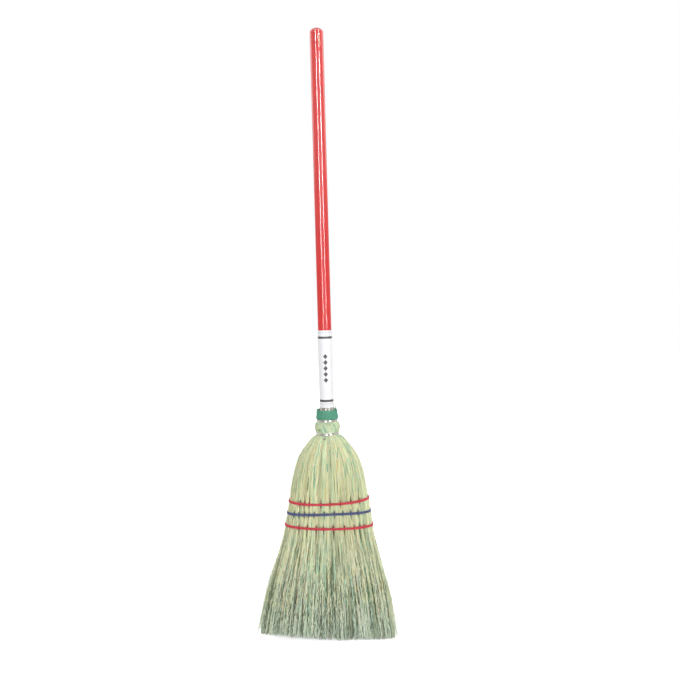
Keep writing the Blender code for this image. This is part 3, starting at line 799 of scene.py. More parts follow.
def marked_straws(places):
    """Single stalks that lie on top of the front skin."""
    paths, widths = [], []
    steps = np.linspace(0, 1, 24)
    angles = np.linspace(-pi, 0, 500)
    for x_top, z_top, x_end, z_end, width in places:
        path = []
        for x, z in zip(x_top + (x_end - x_top) * steps, z_top + (z_end - z_top) * steps):
            skin = on_head(np.full(500, z * MM), angles, np.full(500, 0.5 * MM))
            path.append((x * MM, np.interp(x * MM, skin[:, 0], skin[:, 1]), z * MM))
        paths.append(path)
        widths.append(width * MM / 2 * (1 - 0.6 * np.abs(2 * steps - 1) ** 3))
    single = np.zeros((len(places), 1))
    data = {"radius": np.array(widths), "free": single, "twist": single, "phase": single}
    return [(np.array(paths), data)]


def straw_body(material):
    """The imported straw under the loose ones: a fluted, tapering body from the neck to the backing."""
    angles = np.linspace(-pi, pi, 420, endpoint=False)
    heights = np.linspace(BUTT_Z - 4 * MM, BACKING_Z - 35 * MM, 110)
    z, angle = np.meshgrid(heights, angles, indexing="ij")
    narrow = np.clip((z - WIDE_Z) / (NECK_Z - WIDE_Z), 0, 1)
    skin = on_head(z, angle, 0 * z)
    half = half_width(z, skin[..., 0] >= 0)
    across = skin[..., 0] / half
    dip = np.where(angle < 0, hollow(across, half, z, -1)[0], hollow(across, half, z, 1)[0])
    inset = 3.9 * MM + 0.8 * MM * np.sin(angle * 90) * (1 - narrow) + dip * (1 - narrow)
    inset += 9 * MM * np.clip((BACKING_Z - z) / (35 * MM), 0, 1) ** 2
    places = on_head(z, angle, inset)
    return make_object("straw_body", skin_mesh("straw_body", places, capped=True), material)


# Materials


def straw_material(name, shadow):
    """Dry broomcorn: each straw has its own tint, paler and yellower in the head, greyer in the fringe, and
    darker the deeper it lies, by painted shade; with shadow given it also gets a painted shadow."""
    material, tree, shader = new_material(name)
    place, _, _, z = object_xyz(tree)
    tint, shade, deep = (
        add(tree, "ShaderNodeAttribute", attribute_name=key).node.outputs["Fac"]
        for key in ("tint", "shade", "deep")
    )
    # A straw's own streaks are finer than the render shows, so they are drawn wider than a straw
    patches = grain(tree, place, 2.381 * MM, 2.0, (1.0, 1.0, 0.06))
    patches = add(tree, RANGE, (patches, 0.3, 0.7, -0.3, 0.3))
    tint = add(tree, MATH, (tint, patches), operation="ADD")
    head = add(tree, RAMP, (tint,), HEAD_TINTS)
    fringe = add(tree, RAMP, (tint,), FRINGE_TINTS)
    weathered = grain(tree, place, 18.18 * MM, 3.0, (1.0, 1.0, 0.5))
    weathered = add(tree, RANGE, (weathered, 0.45, 0.62, 0.0, 0.5))
    fringe = add(tree, MIX, {0: weathered, 6: fringe, 7: "#B6C8BA"}, **BLEND)
    tipward = add(tree, RANGE, (z, 100 * MM, 0.0))
    # The fringe is paler towards its tips
    tip_paling = add(tree, MATH, (tipward, 0.8), operation="MULTIPLY")
    fringe = add(tree, MIX, {0: tip_paling, 6: fringe, 7: "#F2FFEE"}, **BLEND)
    headward = add(tree, RANGE, (z, 60 * MM, 290 * MM))
    colour = add(tree, MIX, {0: headward, 6: fringe, 7: head}, **BLEND)
    plain_head = add(tree, MATH, (headward, 0.76), operation="MULTIPLY")
    plain_tips = add(tree, MATH, (tipward, 0.28), operation="MULTIPLY")
    plain = add(tree, MATH, (plain_head, plain_tips), operation="ADD")
    varied = add(tree, MATH, (1.0, plain), operation="SUBTRACT")
    shades = add(tree, RAMP, (shade,), SHADES)
    colour = add(tree, MIX, {0: varied, 6: colour, 7: shades}, **SHADE)
    neckward = add(tree, RANGE, (z, NECK_Z - 18 * MM, NECK_Z + 10 * MM))
    colour = add(tree, MIX, {0: neckward, 6: colour, 7: "#ECF9FD"}, **SHADE)
    # Painted shade: a straw is darker the deeper it lies under the skin, less so towards the tips
    depth_shade = add(tree, RAMP, (deep,), PAINTED_DEPTH_SHADE)
    shadowed = add(tree, MATH, (tipward, -0.7, 1.0), operation="MULTIPLY_ADD")
    colour = add(tree, MIX, {0: shadowed, 6: colour, 7: depth_shade}, **SHADE)
    # Painted shadow over all of the straw inside the brush
    if shadow:
        colour = add(tree, MIX, {0: shadow, 6: colour, 7: "#66744A"}, **SHADE)
    fill(tree, shader, {"Base Color": colour, "Roughness": 0.6, "Specular IOR Level": 0.1})
    return material


HEAD_TINTS = (
    (0.0, "#A5D7BA"),
    (0.14, "#DAF2CA"),
    (0.34, "#EFF5CA"),
    (0.54, "#F8F8D1"),
    (0.72, "#FAF4B8"),
    (0.88, "#F9F9E4"),
    (1.0, "#E4D299"),
)
FRINGE_TINTS = (
    (0.0, "#AFDCC8"),
    (0.12, "#D9F2D8"),
    (0.34, "#F2FADF"),
    (0.62, "#FBF8D2"),
    (0.85, "#FFFEF8"),
    (1.0, "#E8D49C"),
)
SHADES = ((0.0, "#2A3822"), (0.22, "#7C8E6A"), (0.4, "#EFF3E4"), (0.55, "#FFFFFF"))
# Painted shade by depth under the skin, from none to darkest
PAINTED_DEPTH_SHADE = ((0.42, "#FFFFFF"), (0.7, "#CBD1B0"), (1.0, "#4E5936"))


def single_straw_material(name, colour):
    """One stalk of an odd colour: streaked along its length and paler in patches."""
    material, tree, shader = new_material(name)
    place = object_place(tree)
    streaks = grain(tree, place, 0.9091 * MM, 2.0, (1.0, 1.0, 0.08))
    shades = add(tree, RAMP, (streaks,), ((0.35, "#8E9474"), (0.65, "#FFFFFF")))
    streaked = add(tree, MIX, {0: 0.45, 6: colour, 7: shades}, **SHADE)
    fill(tree, shader, {"Base Color": streaked, "Roughness": 0.6, "Specular IOR Level": 0.3})
    return material


def tack_material():
    """Dull steel of an old tack: scratched bright on the ridges, brown where it has begun to rust."""
    material, tree, shader = new_material("Dull tack steel")
    place = object_place(tree)
    rust = add(tree, RAMP, (grain(tree, place, 1.1111 * MM, 3.0),), ((0.45, "#8A857C"), (0.7, "#5E4636")))
    worn = add(tree, RAMP, (grain(tree, place, 0.6667 * MM),), ((0.3, "#5A5A5A"), (0.7, "#B0B0B0")))
    fill(tree, shader, {"Base Color": rust, "Roughness": worn, "Metallic": 1.0})
    return material


# The chip in the lacquer and the nick beside it: centre, half sizes and slant, seen from the front
CHIP_CENTRE = (5.3 * MM, HANDLE_BOX[1].z - 29.0 * MM)
CHIP_HALF = (1.9 * MM, 11.5 * MM)
CHIP_SLANT = -0.11
CHIP_DEPTH = 0.5 * MM
NICK_CENTRE = (-3.0 * MM, CHIP_CENTRE[1] - 6.0 * MM)
NICK_HALF = (2.3 * MM, 2.3 * MM)
NICK_SLANT = 0.2
EDGE_JAG = 3.4
EDGE_SOFTNESS = 0.25
# Below this height the hand has dulled the lacquer, less and less over the fade above it
GRIP_Z = 800 * MM
GRIP_FADE = 300 * MM


def ellipse_mask(tree, x, z, centre, half, slant, rough):
    """1 inside a slanted ellipse of the front view whose edge is roughened by a noise socket, 0 outside."""
    above = add(tree, MATH, (z, centre[1]), operation="SUBTRACT")
    axis = add(tree, MATH, (above, slant, centre[0]), operation="MULTIPLY_ADD")
    beside = add(tree, MATH, (x, axis), operation="SUBTRACT")
    squares = []
    for away, reach in ((beside, half[0]), (above, half[1])):
        share = add(tree, MATH, (away, reach), operation="DIVIDE")
        squares.append(add(tree, MATH, (share, share), operation="MULTIPLY"))
    square = add(tree, MATH, squares, operation="ADD")
    jags = add(tree, MATH, (rough, 0.5), operation="SUBTRACT")
    jags = add(tree, MATH, (jags, EDGE_JAG), operation="MULTIPLY")
    ragged = add(tree, MATH, (square, jags), operation="ADD")
    return add(tree, RANGE, (ragged, 1.0 - EDGE_SOFTNESS, 1.0 + EDGE_SOFTNESS, 1.0, 0.0))


def lacquer_material():
    """Red lacquer brushed on turned wood: a glossy coat, faint streaks along the grain, a bare chip."""
    chosen = settings("handle")
    material, tree, shader = new_material("Red lacquer on wood")
    place, x, y, z = object_xyz(tree)
    # Brush marks are finer than the render shows, so they are drawn coarser
    streaks = grain(tree, place, 2.381 * MM, 3.0, (1.0, 1.0, 0.03))
    streaks = add(tree, RAMP, (streaks,), ((0.3, "#CC2424"), (0.7, "#EC4444")))
    colour = add(tree, MIX, {0: 0.22, 6: chosen.lacquer, 7: streaks}, **BLEND)
    specks = grain(tree, place, 1.4286 * MM, 1.0, (1.0, 1.0, 0.35))
    specks = add(tree, RAMP, (specks,), ((0.70, "#000000"), (0.76, "#FFFFFF")))
    specks = add(tree, MATH, (specks, 0.35), operation="MULTIPLY")
    colour = add(tree, MIX, {0: specks, 6: colour, 7: "#9A2128"}, **BLEND)
    worn = add(tree, RAMP, (grain(tree, place, 3.846 * MM, 3.0),), ((0.35, "#3A3A3A"), (0.6, "#D0D0D0")))
    dome = add(tree, RANGE, (z, HANDLE_BOX[1].z - 12.0 * MM, HANDLE_BOX[1].z - 6.5 * MM))
    worn = add(tree, MATH, (worn, dome), operation="MULTIPLY")
    colour = add(tree, MIX, {0: worn, 6: colour, 7: "#E09F9C"}, **BLEND)
    rough = grain(tree, place, 2.381 * MM, 3.0, (1.0, 1.0, 0.45))
    front = add(tree, MATH, (y, 0.0), operation="LESS_THAN")
    bare, nick = (
        add(tree, MATH, (ellipse_mask(tree, x, z, *shape, rough), front), operation="MULTIPLY")
        for shape in ((CHIP_CENTRE, CHIP_HALF, CHIP_SLANT), (NICK_CENTRE, NICK_HALF, NICK_SLANT))
    )
    colour = add(tree, MIX, {0: bare, 6: colour, 7: chosen.bare_wood}, **BLEND)
    flaked = add(tree, MATH, (nick, 0.7), operation="MULTIPLY")
    colour = add(tree, MIX, {0: flaked, 6: colour, 7: "#B61F26"}, **BLEND)
    dull = add(tree, MATH, (bare, nick), operation="MAXIMUM")
    roughness = add(tree, MATH, (dull, 0.5, 0.2), operation="MULTIPLY_ADD")
    shine = add(tree, RANGE, (z, GRIP_Z, GRIP_Z + GRIP_FADE))
    shine = add(tree, MATH, (shine, 0.5, 0.5), operation="MULTIPLY_ADD")
    whole = add(tree, MATH, (1.0, dull), operation="SUBTRACT")
    coat = add(tree, MATH, (shine, whole), operation="MULTIPLY")
    fill(tree, shader, {"Base Color": colour, "Roughness": roughness, "Specular IOR Level": 0.0})
    fill(tree, shader, {"Coat Weight": coat, "Coat Roughness": 0.08, "Coat IOR": 1.65})
    return material


# Above 1 the handle's top is rounder than a cone, at 2 it is half a ball
DOME_POWER = 1.65


def handle_mesh():
    """The turned stick: rounded top, straight shaft, tapered end inside the head, and the shallow chip."""
    chosen = settings("handle")
    top, end = HANDLE_BOX[1].z, HANDLE_BOX[0].z
    profile = [(0.0, top)]
    for k in range(1, 13):
        angle = pi / 2 * k / 12
        reach, rise = sin(angle) ** (2 / DOME_POWER), cos(angle) ** (2 / DOME_POWER)
        profile.append((chosen.radius * reach, top - chosen.dome * (1 - rise)))
    fine = [top - chosen.dome - k * MM for k in range(1, 40)]
    coarse = list(np.linspace(fine[-1] - 20 * MM, NECK_Z, 40))
    profile += [(chosen.radius, z) for z in fine + coarse]
    profile += [(chosen.radius * 0.6, end), (0.0, end)]

    def chip(angle, r, z):
        if sin(angle) >= 0 or abs(z - CHIP_CENTRE[1]) > 2 * CHIP_HALF[1]:
            return 0.0
        across = (r * cos(angle) - CHIP_CENTRE[0] - CHIP_SLANT * (z - CHIP_CENTRE[1])) / CHIP_HALF[0]
        along = (z - CHIP_CENTRE[1]) / CHIP_HALF[1]
        return -CHIP_DEPTH * exp(-((across**2 + along**2) ** 2))

    return turned_mesh("lacquered_handle", profile, 128, chip)


LOZENGE_COUNT = 5
LOZENGE_STEP = 13.0 * MM
LOZENGE_HALF = (5.0 * MM, 5.8 * MM)
INK_EDGE = 0.12 * MM


def label_material():
    """White paper with a satin print: two black bands, faint grey rules and a column of small lozenges."""
    chosen = settings("label")
    material, tree, shader = new_material("Printed label paper")
    place, x, y, z = object_xyz(tree)
    low, high = LABEL_BOX[0].z, LABEL_BOX[1].z

    def stripes(centres, half):
        """1 inside two stripes round the sleeve, 0 outside."""
        masks = []
        for centre in centres:
            away = add(tree, MATH, (z, centre), operation="SUBTRACT")
            away = add(tree, MATH, (away,), operation="ABSOLUTE")
            masks.append(add(tree, RANGE, (away, half - INK_EDGE, half + INK_EDGE, 1.0, 0.0)))
        return add(tree, MATH, masks, operation="MAXIMUM")

    bands = (low + chosen.band_margin * 0.79, high - chosen.band_margin * 1.06)
    ink = stripes(bands, chosen.band_height / 2)
    rules = stripes((low + 6 * MM, high - 6 * MM), 0.7 * MM)
    ahead = add(tree, MATH, (y, -1.0), operation="MULTIPLY")
    turn = add(tree, MATH, (x, ahead), operation="ARCTAN2")
    around = add(tree, MATH, (turn, LABEL_BOX[1].x), operation="MULTIPLY")
    rise = add(tree, MATH, (z, (low + high) / 2), operation="SUBTRACT")
    steps = add(tree, MATH, (rise, LOZENGE_STEP), operation="DIVIDE")
    steps = add(tree, MATH, (steps,), operation="ROUND")
    middle = add(tree, MATH, (steps, LOZENGE_STEP), operation="MULTIPLY")
    above = add(tree, MATH, (rise, middle), operation="SUBTRACT")
    shares = []
    for away, half in zip((around, above), LOZENGE_HALF):
        away = add(tree, MATH, (away,), operation="ABSOLUTE")
        shares.append(add(tree, MATH, (away, half), operation="DIVIDE"))
    share = add(tree, MATH, shares, operation="ADD")
    lozenge = add(tree, RANGE, (share, 0.94, 1.06, 1.0, 0.0))
    inside = add(tree, MATH, (rise,), operation="ABSOLUTE")
    inside = add(tree, MATH, (inside, LOZENGE_COUNT / 2 * LOZENGE_STEP), operation="LESS_THAN")
    lozenge = add(tree, MATH, (lozenge, inside), operation="MULTIPLY")
    ink = add(tree, MATH, (ink, lozenge), operation="MAXIMUM")
    rules = add(tree, MATH, (rules, 0.35), operation="MULTIPLY")
    colour = add(tree, MIX, {0: rules, 6: chosen.paper, 7: "#8F8F94"}, **BLEND)
    colour = add(tree, MIX, {0: ink, 6: colour, 7: chosen.ink}, **BLEND)
    cockles = grain(tree, place, 6.25 * MM)
    uneven = add(tree, "ShaderNodeBump", {"Height": cockles, "Distance": 0.25 * MM, "Strength": 0.25})
    fill(tree, shader, {"Base Color": colour, "Roughness": 0.42, "Normal": uneven})
    return material


# The label's lower edge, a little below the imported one's
LABEL_LOW = LABEL_BOX[0].z - 2.6 * MM


def label_mesh():
    """A paper sleeve with an overlapped seam at the back."""
    outer = LABEL_BOX[1].x
    inner = outer - 0.55 * MM
    low, high = LABEL_LOW, LABEL_BOX[1].z - 1.5 * MM
    heights = list(np.linspace(high, low, 60))
    profile = [(outer, z) for z in heights] + [(inner, low), (inner, high)]

    def ripple(angle, r, z):
        seam = 0.22 * MM * (1 if 0 < (angle - pi / 2) % tau < 0.55 else 0)
        soft = noise.noise(Vector((cos(angle) * 1.3, sin(angle) * 1.3, z / (22 * MM)))) * 0.16 * MM
        return (soft - 0.2 * MM + seam) if r == outer else 0.0

    return turned_mesh("paper_label", profile, 128, ripple)


def collar_material():
    """Green cloth tape: a woven surface, darker in its folds, a little shiny on the ridges."""
    chosen = settings("collar")
    material, tree, shader = new_material("Green cloth tape")
    place = object_place(tree)
    blotches = grain(tree, place, 6.25 * MM, 3.0)
    blotches = add(tree, RAMP, (blotches,), ((0.3, "#3F886B"), (0.7, "#5EA788")))
    colour = add(tree, MIX, {0: 0.5, 6: chosen.tape, 7: blotches}, **BLEND)
    # Threads of about 0.4 mm are too fine to show in the render, so they are drawn coarser
    weave = grain(tree, place, 0.6667 * MM, 1.0, (1.0, 1.0, 2.0))
    woven = add(tree, "ShaderNodeBump", {"Height": weave, "Distance": 0.2 * MM, "Strength": 0.4})
    fill(tree, shader, {"Base Color": colour, "Roughness": 0.7, "Specular IOR Level": 0.25})
    fill(tree, shader, {"Normal": woven})
    return material


def collar_mesh():
    """The wrapped tape: a waisted sleeve with soft folds and the step of the tape's own end."""
    chosen = settings("collar")
    low, high = COLLAR_BOX[0].z + NECK_LIFT, COLLAR_BOX[1].z
    top, bottom, waist = 24.0 * MM, 26.0 * MM, 1.3 * MM
    inner = 21.9 * MM
    profile = []
    steps = 44
    for k in range(steps + 1):
        share = k / steps
        radius = top + (bottom - top) * share - waist * sin(pi * share)
        edge = min(share, 1 - share) * steps
        radius -= 1.4 * MM * exp(-edge / 2.4)
        profile.append((radius, high + (low - high) * share))
    profile += [(inner, low + 0.3 * MM), (inner, high - 0.3 * MM)]

    def fold(angle, r, z):
        if r <= inner:
            return 0.0
        place = Vector((cos(angle) * 2.2, sin(angle) * 2.2, z / (5.5 * MM)))
        small = Vector((cos(angle) * 6.0, sin(angle) * 6.0, z / (2.4 * MM)))
        folds = noise.noise(place) * chosen.wrinkle + noise.noise(small) * chosen.wrinkle * 0.45
        lap = 0.5 * MM if (angle + 1.9 + (z - low) / (high - low) * 0.5) % tau < 1.1 else 0.0
        return folds - chosen.wrinkle + lap

    return turned_mesh("tape_collar", profile, 160, fold)


def metal_material(name, colour, roughness):
    """Bright tinned wire, a little dull and scratched along its length."""
    material, tree, shader = new_material(name)
    place = object_place(tree)
    worn = add(tree, RAMP, (grain(tree, place, 1.1111 * MM),), ((0.3, "#A39F97"), (0.7, "#CCCAC5")))
    colour = add(tree, MIX, {0: 0.35, 6: colour, 7: worn}, **BLEND)
    fill(tree, shader, {"Base Color": colour, "Metallic": 1.0, "Roughness": roughness})
    return material


POINTS_PER_TURN = 48


def helix(radius, z_middle, turns, pitch, start):
    """Points of a winding round the handle's axis, from its lower end."""
    share = np.linspace(0, 1, turns * POINTS_PER_TURN)
    angle = start + share * turns * tau
    z = z_middle + (share - 0.5) * turns * pitch
    return np.stack([radius * np.cos(angle), radius * np.sin(angle), z], -1)


def strand_data(width, points, twist):
    """What path_mesh asks for of a strand that doesn't stray: its radius, and how far it has turned."""
    none = np.zeros((1, 1))
    return {"radius": np.full((1, points), width / 2), "free": none, "twist": twist, "phase": none}


def one_tube(name, path, width, material, **inputs):
    """One round tube along a path of points."""
    data = strand_data(width, len(path), np.zeros((1, 1)))
    return tubes(name, [(path[None], data)], material, **{"Sides": 12, **inputs})


# Pieces


class BROOM_OT_straw(bpy.types.Operator):
    """The straw of the head, from under the collar to the floor"""

    bl_idname = "broom.straw"
    bl_label = "Straw"

    def execute(self, context):
        chosen = settings("straw")
        fresh = straw_material("Dry broomcorn straw", 0.0)
        # The straw inside the brush and the body under it get a painted shadow all over
        deep = straw_material("Dry broomcorn straw, inside", 0.55)
        wave = {"Sides": 3, "Wave": chosen.wave}
        for name, face, node in (("front", -1, "hurl_front"), ("back", 1, "hurl_back")):
            stalks = tubes("stalks_" + name, head_straws(face, chosen.seed + face), fresh, **wave)
            finish_piece(stalks, "straw", node)
            for side, low, high in (("right", 0.0, 0.5), ("left", 0.5, 1.0)):
                seed = chosen.seed + 10 * face + (side == "left")
                fibres = fringe_straws(face, low, high, seed) + stray_straws(face, low, high, seed + 60)
                finish_piece(tubes(f"fringe_{name}_{side}", fibres, fresh, **wave), "straw", node)
            inner = tubes("inner_" + name, inner_straws(face, chosen.seed + 30 + face), deep, **wave)
            finish_piece(inner, "straw", "shoulder_corn_left" if face < 0 else "shoulder_corn_right")
        body = straw_body(deep)
        finish_piece(body, "straw", "inside_corn")
        for name, (colour, places) in MARKED.items():
            odd = single_straw_material(name, colour)
            stalk = tubes(name.lower().replace(" ", "_"), marked_straws(places), odd, Sides=6)
            finish_piece(stalk, "straw", "hurl_front")
        return {"FINISHED"}


class BROOM_OT_handle(bpy.types.Operator):
    """The lacquered stick"""

    bl_idname = "broom.handle"
    bl_label = "Handle"

    def execute(self, context):
        item = make_object("lacquered_handle", handle_mesh(), lacquer_material())
        finish_piece(item, "handle_lacquer", "handle")
        return {"FINISHED"}


class BROOM_OT_label(bpy.types.Operator):
    """The paper label round the stick"""

    bl_idname = "broom.label"
    bl_label = "Label"

    def execute(self, context):
        item = make_object("paper_label", label_mesh(), label_material())
        finish_piece(item, "label_paper", "label_sleeve")
        return {"FINISHED"}


class BROOM_OT_collar(bpy.types.Operator):
    """The cloth tape round the cut straw"""

    bl_idname = "broom.collar"
    bl_label = "Collar"

    def execute(self, context):
        item = make_object("tape_collar", collar_mesh(), collar_material())
        finish_piece(item, "collar_tape", "collar_tape")
        return {"FINISHED"}


# Each winding: radius, turns, start angle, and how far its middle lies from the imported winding's middle
WINDINGS = {
    "top_wire": (15.9 * MM, 4, 2.1, -1.4 * MM),
    "collar_wire": (22.2 * MM, 3, 0.4, NECK_LIFT),
    "shoulder_wire": (24.3 * MM, 3, 0.2, NECK_LIFT),
}


def wire_end_path():
    """The wire's end: it crosses over the front of the shoulder winding and dives in at each side."""
    low, high = box_of("shoulder_wire")
    share = np.linspace(0, 1, 40)
    angle = -pi / 2 + (share - 0.42) * 1.35
    reach = 26.0 * MM - 2.6 * MM * np.abs(2 * share - 1) ** 4
    z = (low.z + high.z) / 2 + NECK_LIFT + (share - 0.62) * 6.0 * MM
    return np.stack([reach * np.cos(angle), reach * np.sin(angle), z], -1)


class BROOM_OT_wire(bpy.types.Operator):
    """The tinned wire windings, the wire's end and the metal of the hidden binding wire"""

    bl_idname = "broom.wire"
    bl_label = "Wire"

    def execute(self, context):
        chosen = settings("wire")
        metal = metal_material("Tinned wire", chosen.metal, 0.24)
        for name, (radius, turns, start, lift) in WINDINGS.items():
            low, high = box_of(name)
            path = helix(radius, (low.z + high.z) / 2 + lift, turns, chosen.pitch, start)
            item = one_tube(name + "_winding", path, chosen.thickness, metal)
            finish_piece(item, "tinned_wire", name)
        item = one_tube("shoulder_wire_end", wire_end_path(), chosen.thickness, metal)
        finish_piece(item, "tinned_wire", "shoulder_wire")
        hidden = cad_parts["inner_binding_wire"].material_slots[0]
        hidden.link = "OBJECT"
        hidden.material = metal_material("Galvanised wire", "#A9A7A2", 0.4)
        return {"FINISHED"}


def twine_material(name, colour, dark, light):
    """Twisted cotton twine: fuzzy, matt, darker between its strands."""
    material, tree, shader = new_material(name)
    place = object_place(tree)
    # Cotton fibres are far too fine to show in the render, so tufts of them are drawn
    fibres = grain(tree, place, 0.7143 * MM)
    shades = add(tree, RAMP, (fibres,), ((0.3, dark), (0.7, light)))
    colour = add(tree, MIX, {0: 0.5, 6: colour, 7: shades}, **BLEND)
    fuzz = add(tree, "ShaderNodeBump", {"Height": fibres, "Distance": 0.3 * MM, "Strength": 0.5})
    fill(tree, shader, {"Base Color": colour, "Roughness": 0.75, "Sheen Weight": 0.2, "Normal": fuzz})
    return material


BAND_POINTS = 700
TWIST_LENGTH = 7.5 * MM
# A stitch: its half height, how far it bulges and dives, its lean, its thickness and its points
STITCH_RISE = 5.2 * MM
STITCH_BULGE = 3.1 * MM
STITCH_DIVE = 2.0 * MM
STITCH_LEAN = 0.7 * MM
STITCH_THICKNESS = 1.6 * MM
STITCH_POINTS = 15


def band_path(row, outset, turns, pitch):
    """A band of twine round the head: it rides on the straw's skin along its row's sagging line."""
    laps = np.linspace(0, turns, int(BAND_POINTS * turns) + 1)
    angle = pi / 2 + 0.3 + laps * tau
    side = ROWS[row][0]
    z = np.full(len(laps), side)
    for _ in range(3):
        skin = on_head(z, angle, 0 * z)
        middle = row_height(row, skin[:, 0] / half_width(z, skin[:, 0] >= 0))
        z = middle + (0.5 - laps / turns) * turns * pitch
    return on_head(z, angle, -outset * (1 - 0.7 * np.cos(angle) ** 4))


def twists(path):
    """How far a twine has turned about itself at each point of its path."""
    lengths = np.concatenate([[0], np.cumsum(np.linalg.norm(np.diff(path, axis=0), axis=1))])
    return (lengths / TWIST_LENGTH * tau)[None]


def stitch_paths(row):
    """Short stitches over the band, one at each share of the half width, front and back."""
    paths = []
    shares = ROWS[row][3]
    backs = [-(a + b) / 2 for a, b in zip(shares, shares[1:])]
    for side, places in ((-1, shares), (1, backs)):
        for share in places:
            z = row_height(row, share)
            half = half_width(z, share >= 0)
            power = np.interp(z, *zip(*SECTION_POWERS))
            x = share * half
            thickness = across_levels(z, 3)
            y = side * thickness * (1 - abs(share) ** power) ** (1 / power)
            steps = np.linspace(-1, 1, STITCH_POINTS)
            out = STITCH_BULGE * (1 - np.abs(steps) ** 2.5) - STITCH_DIVE * np.abs(steps) ** 3
            paths.append(
                np.stack([x + STITCH_LEAN * steps, y + side * out, z + STITCH_RISE * steps], -1)
            )
    return np.array(paths)


class BROOM_OT_twine(bpy.types.Operator):
    """The stitched rows of twine: a band round the head and the stitches that hook over it"""

    bl_idname = "broom.twine"
    bl_label = "Twine"

    def execute(self, context):
        chosen = settings("twine")
        red = twine_material("Red cotton twine", chosen.red, "#AF1F33", "#F14A5F")
        blue = twine_material("Blue cotton twine", chosen.blue, "#2C3564", "#626F9C")
        for row in ROWS:
            colour, slot = (blue, "blue_twine") if row == "middle" else (red, "red_twine")
            path = band_path(row, 1.5 * MM, 2, chosen.pitch)
            data = strand_data(chosen.thickness, len(path), twists(path))
            lobes = {"Lobes": 3, "Lobe Depth": 0.12}
            band = tubes(row + "_band", [(path[None], data)], colour, Sides=12, **lobes)
            finish_piece(band, slot, row + "_twine_band")
            data = strand_data(STITCH_THICKNESS, 1, np.linspace(0, 7, STITCH_POINTS)[None])
            lobes = {"Lobes": 2, "Lobe Depth": 0.12}
            lacing = tubes(row + "_stitches", [(stitch_paths(row), data)], colour, Sides=8, **lobes)
            finish_piece(lacing, slot, row + "_lacing")
        return {"FINISHED"}


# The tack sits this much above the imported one
TACK_LIFT = 4.0 * MM


def tack_mesh():
    """A domed tack head with a short shank, driven into the straw of the shoulder."""
    low, high = box_of("shoulder_tack")
    radius = (high.x - low.x) / 2
    profile = [(0.0, 1.0 * MM), (0.5 * radius, 0.85 * MM), (0.85 * radius, 0.45 * MM), (radius, 0.0)]
    profile += [(0.9 * radius, -0.3 * MM), (0.35 * radius, -0.4 * MM)]
    profile += [(0.3 * radius, -6.0 * MM), (0.0, -7.0 * MM)]
    mesh = turned_mesh("tack_head", profile, 24)
    place = Vector(((low.x + high.x) / 2, low.y + 0.6 * MM, (low.z + high.z) / 2 + TACK_LIFT))
    mesh.transform(Matrix.Translation(place) @ Matrix.Rotation(radians(78), 4, "X"))
    return mesh


class BROOM_OT_trim(bpy.types.Operator):
    """The tack in the shoulder and the loose straw beside the label"""

    bl_idname = "broom.trim"
    bl_label = "Trim"

    def execute(self, context):
        tack = make_object("tack_head", tack_mesh(), tack_material())
        finish_piece(tack, "tack_steel", "shoulder_tack")
        low, high = box_of("loose_straw")
        start, bend = (low.x + 0.7 * MM, 0, low.z - 3 * MM), (low.x + 1.2 * MM, 0, low.z + 3 * MM)
        path = np.array([start, bend, (high.x - 0.5 * MM, 0, high.z - 0.3 * MM)])
        odd = single_straw_material("Loose straw", "#64A187")
        item = one_tube("loose_stalk", path, 1.6 * MM, odd, Sides=6)
        finish_piece(item, "straw", "loose_straw")
        return {"FINISHED"}


# Stage


def area_lamp(name, place, size, power):
    """A soft lamp of a width and a height, turned to face the broom."""
    data = bpy.data.lights.new(name, "AREA")
    data.shape = "RECTANGLE"
    data.size, data.size_y = size
    data.energy = power
    item = bpy.data.objects.new(name, data)
    bpy.context.scene.collection.objects.link(item)
    item.location = place
    item.rotation_euler = (Vector(STRIP_AIM) - Vector(place)).to_track_quat("-Z", "Y").to_euler()
    return item


def round_about(azimuth, distance, height):
    """A place at an azimuth from the camera's side, positive to the right."""
    angle = radians(azimuth)
    return (distance * sin(angle), -distance * cos(angle), height)


FLOOR_HALF = 6.0
FLOOR_GLOW = 0.75
WORLD_LIGHT = 0.28
# Two upright strips of light make the streaks on the lacquer: azimuth and power
STRIPS = {"left": (-15.5, 36), "right": (37.5, 41)}
STRIP_AIM = (0, 0, 1.5)
# Distance, height, width and length of a strip, and of the one behind it that lights highlights only
STRIP = (3.2, 1.75, 0.14, 3.0)
GLINT = (3.4, 1.75, 0.15, 3.0)
# How much stronger the strips are in highlights than on matt surfaces
GLINT_POWER = 2.7
# Two soft suns light the edges from behind: azimuth and strength
RIM_SUNS = {"left_rim": (-118, 1.1), "right_rim": (118, 0.9)}
RIM_HEIGHT = 0.6


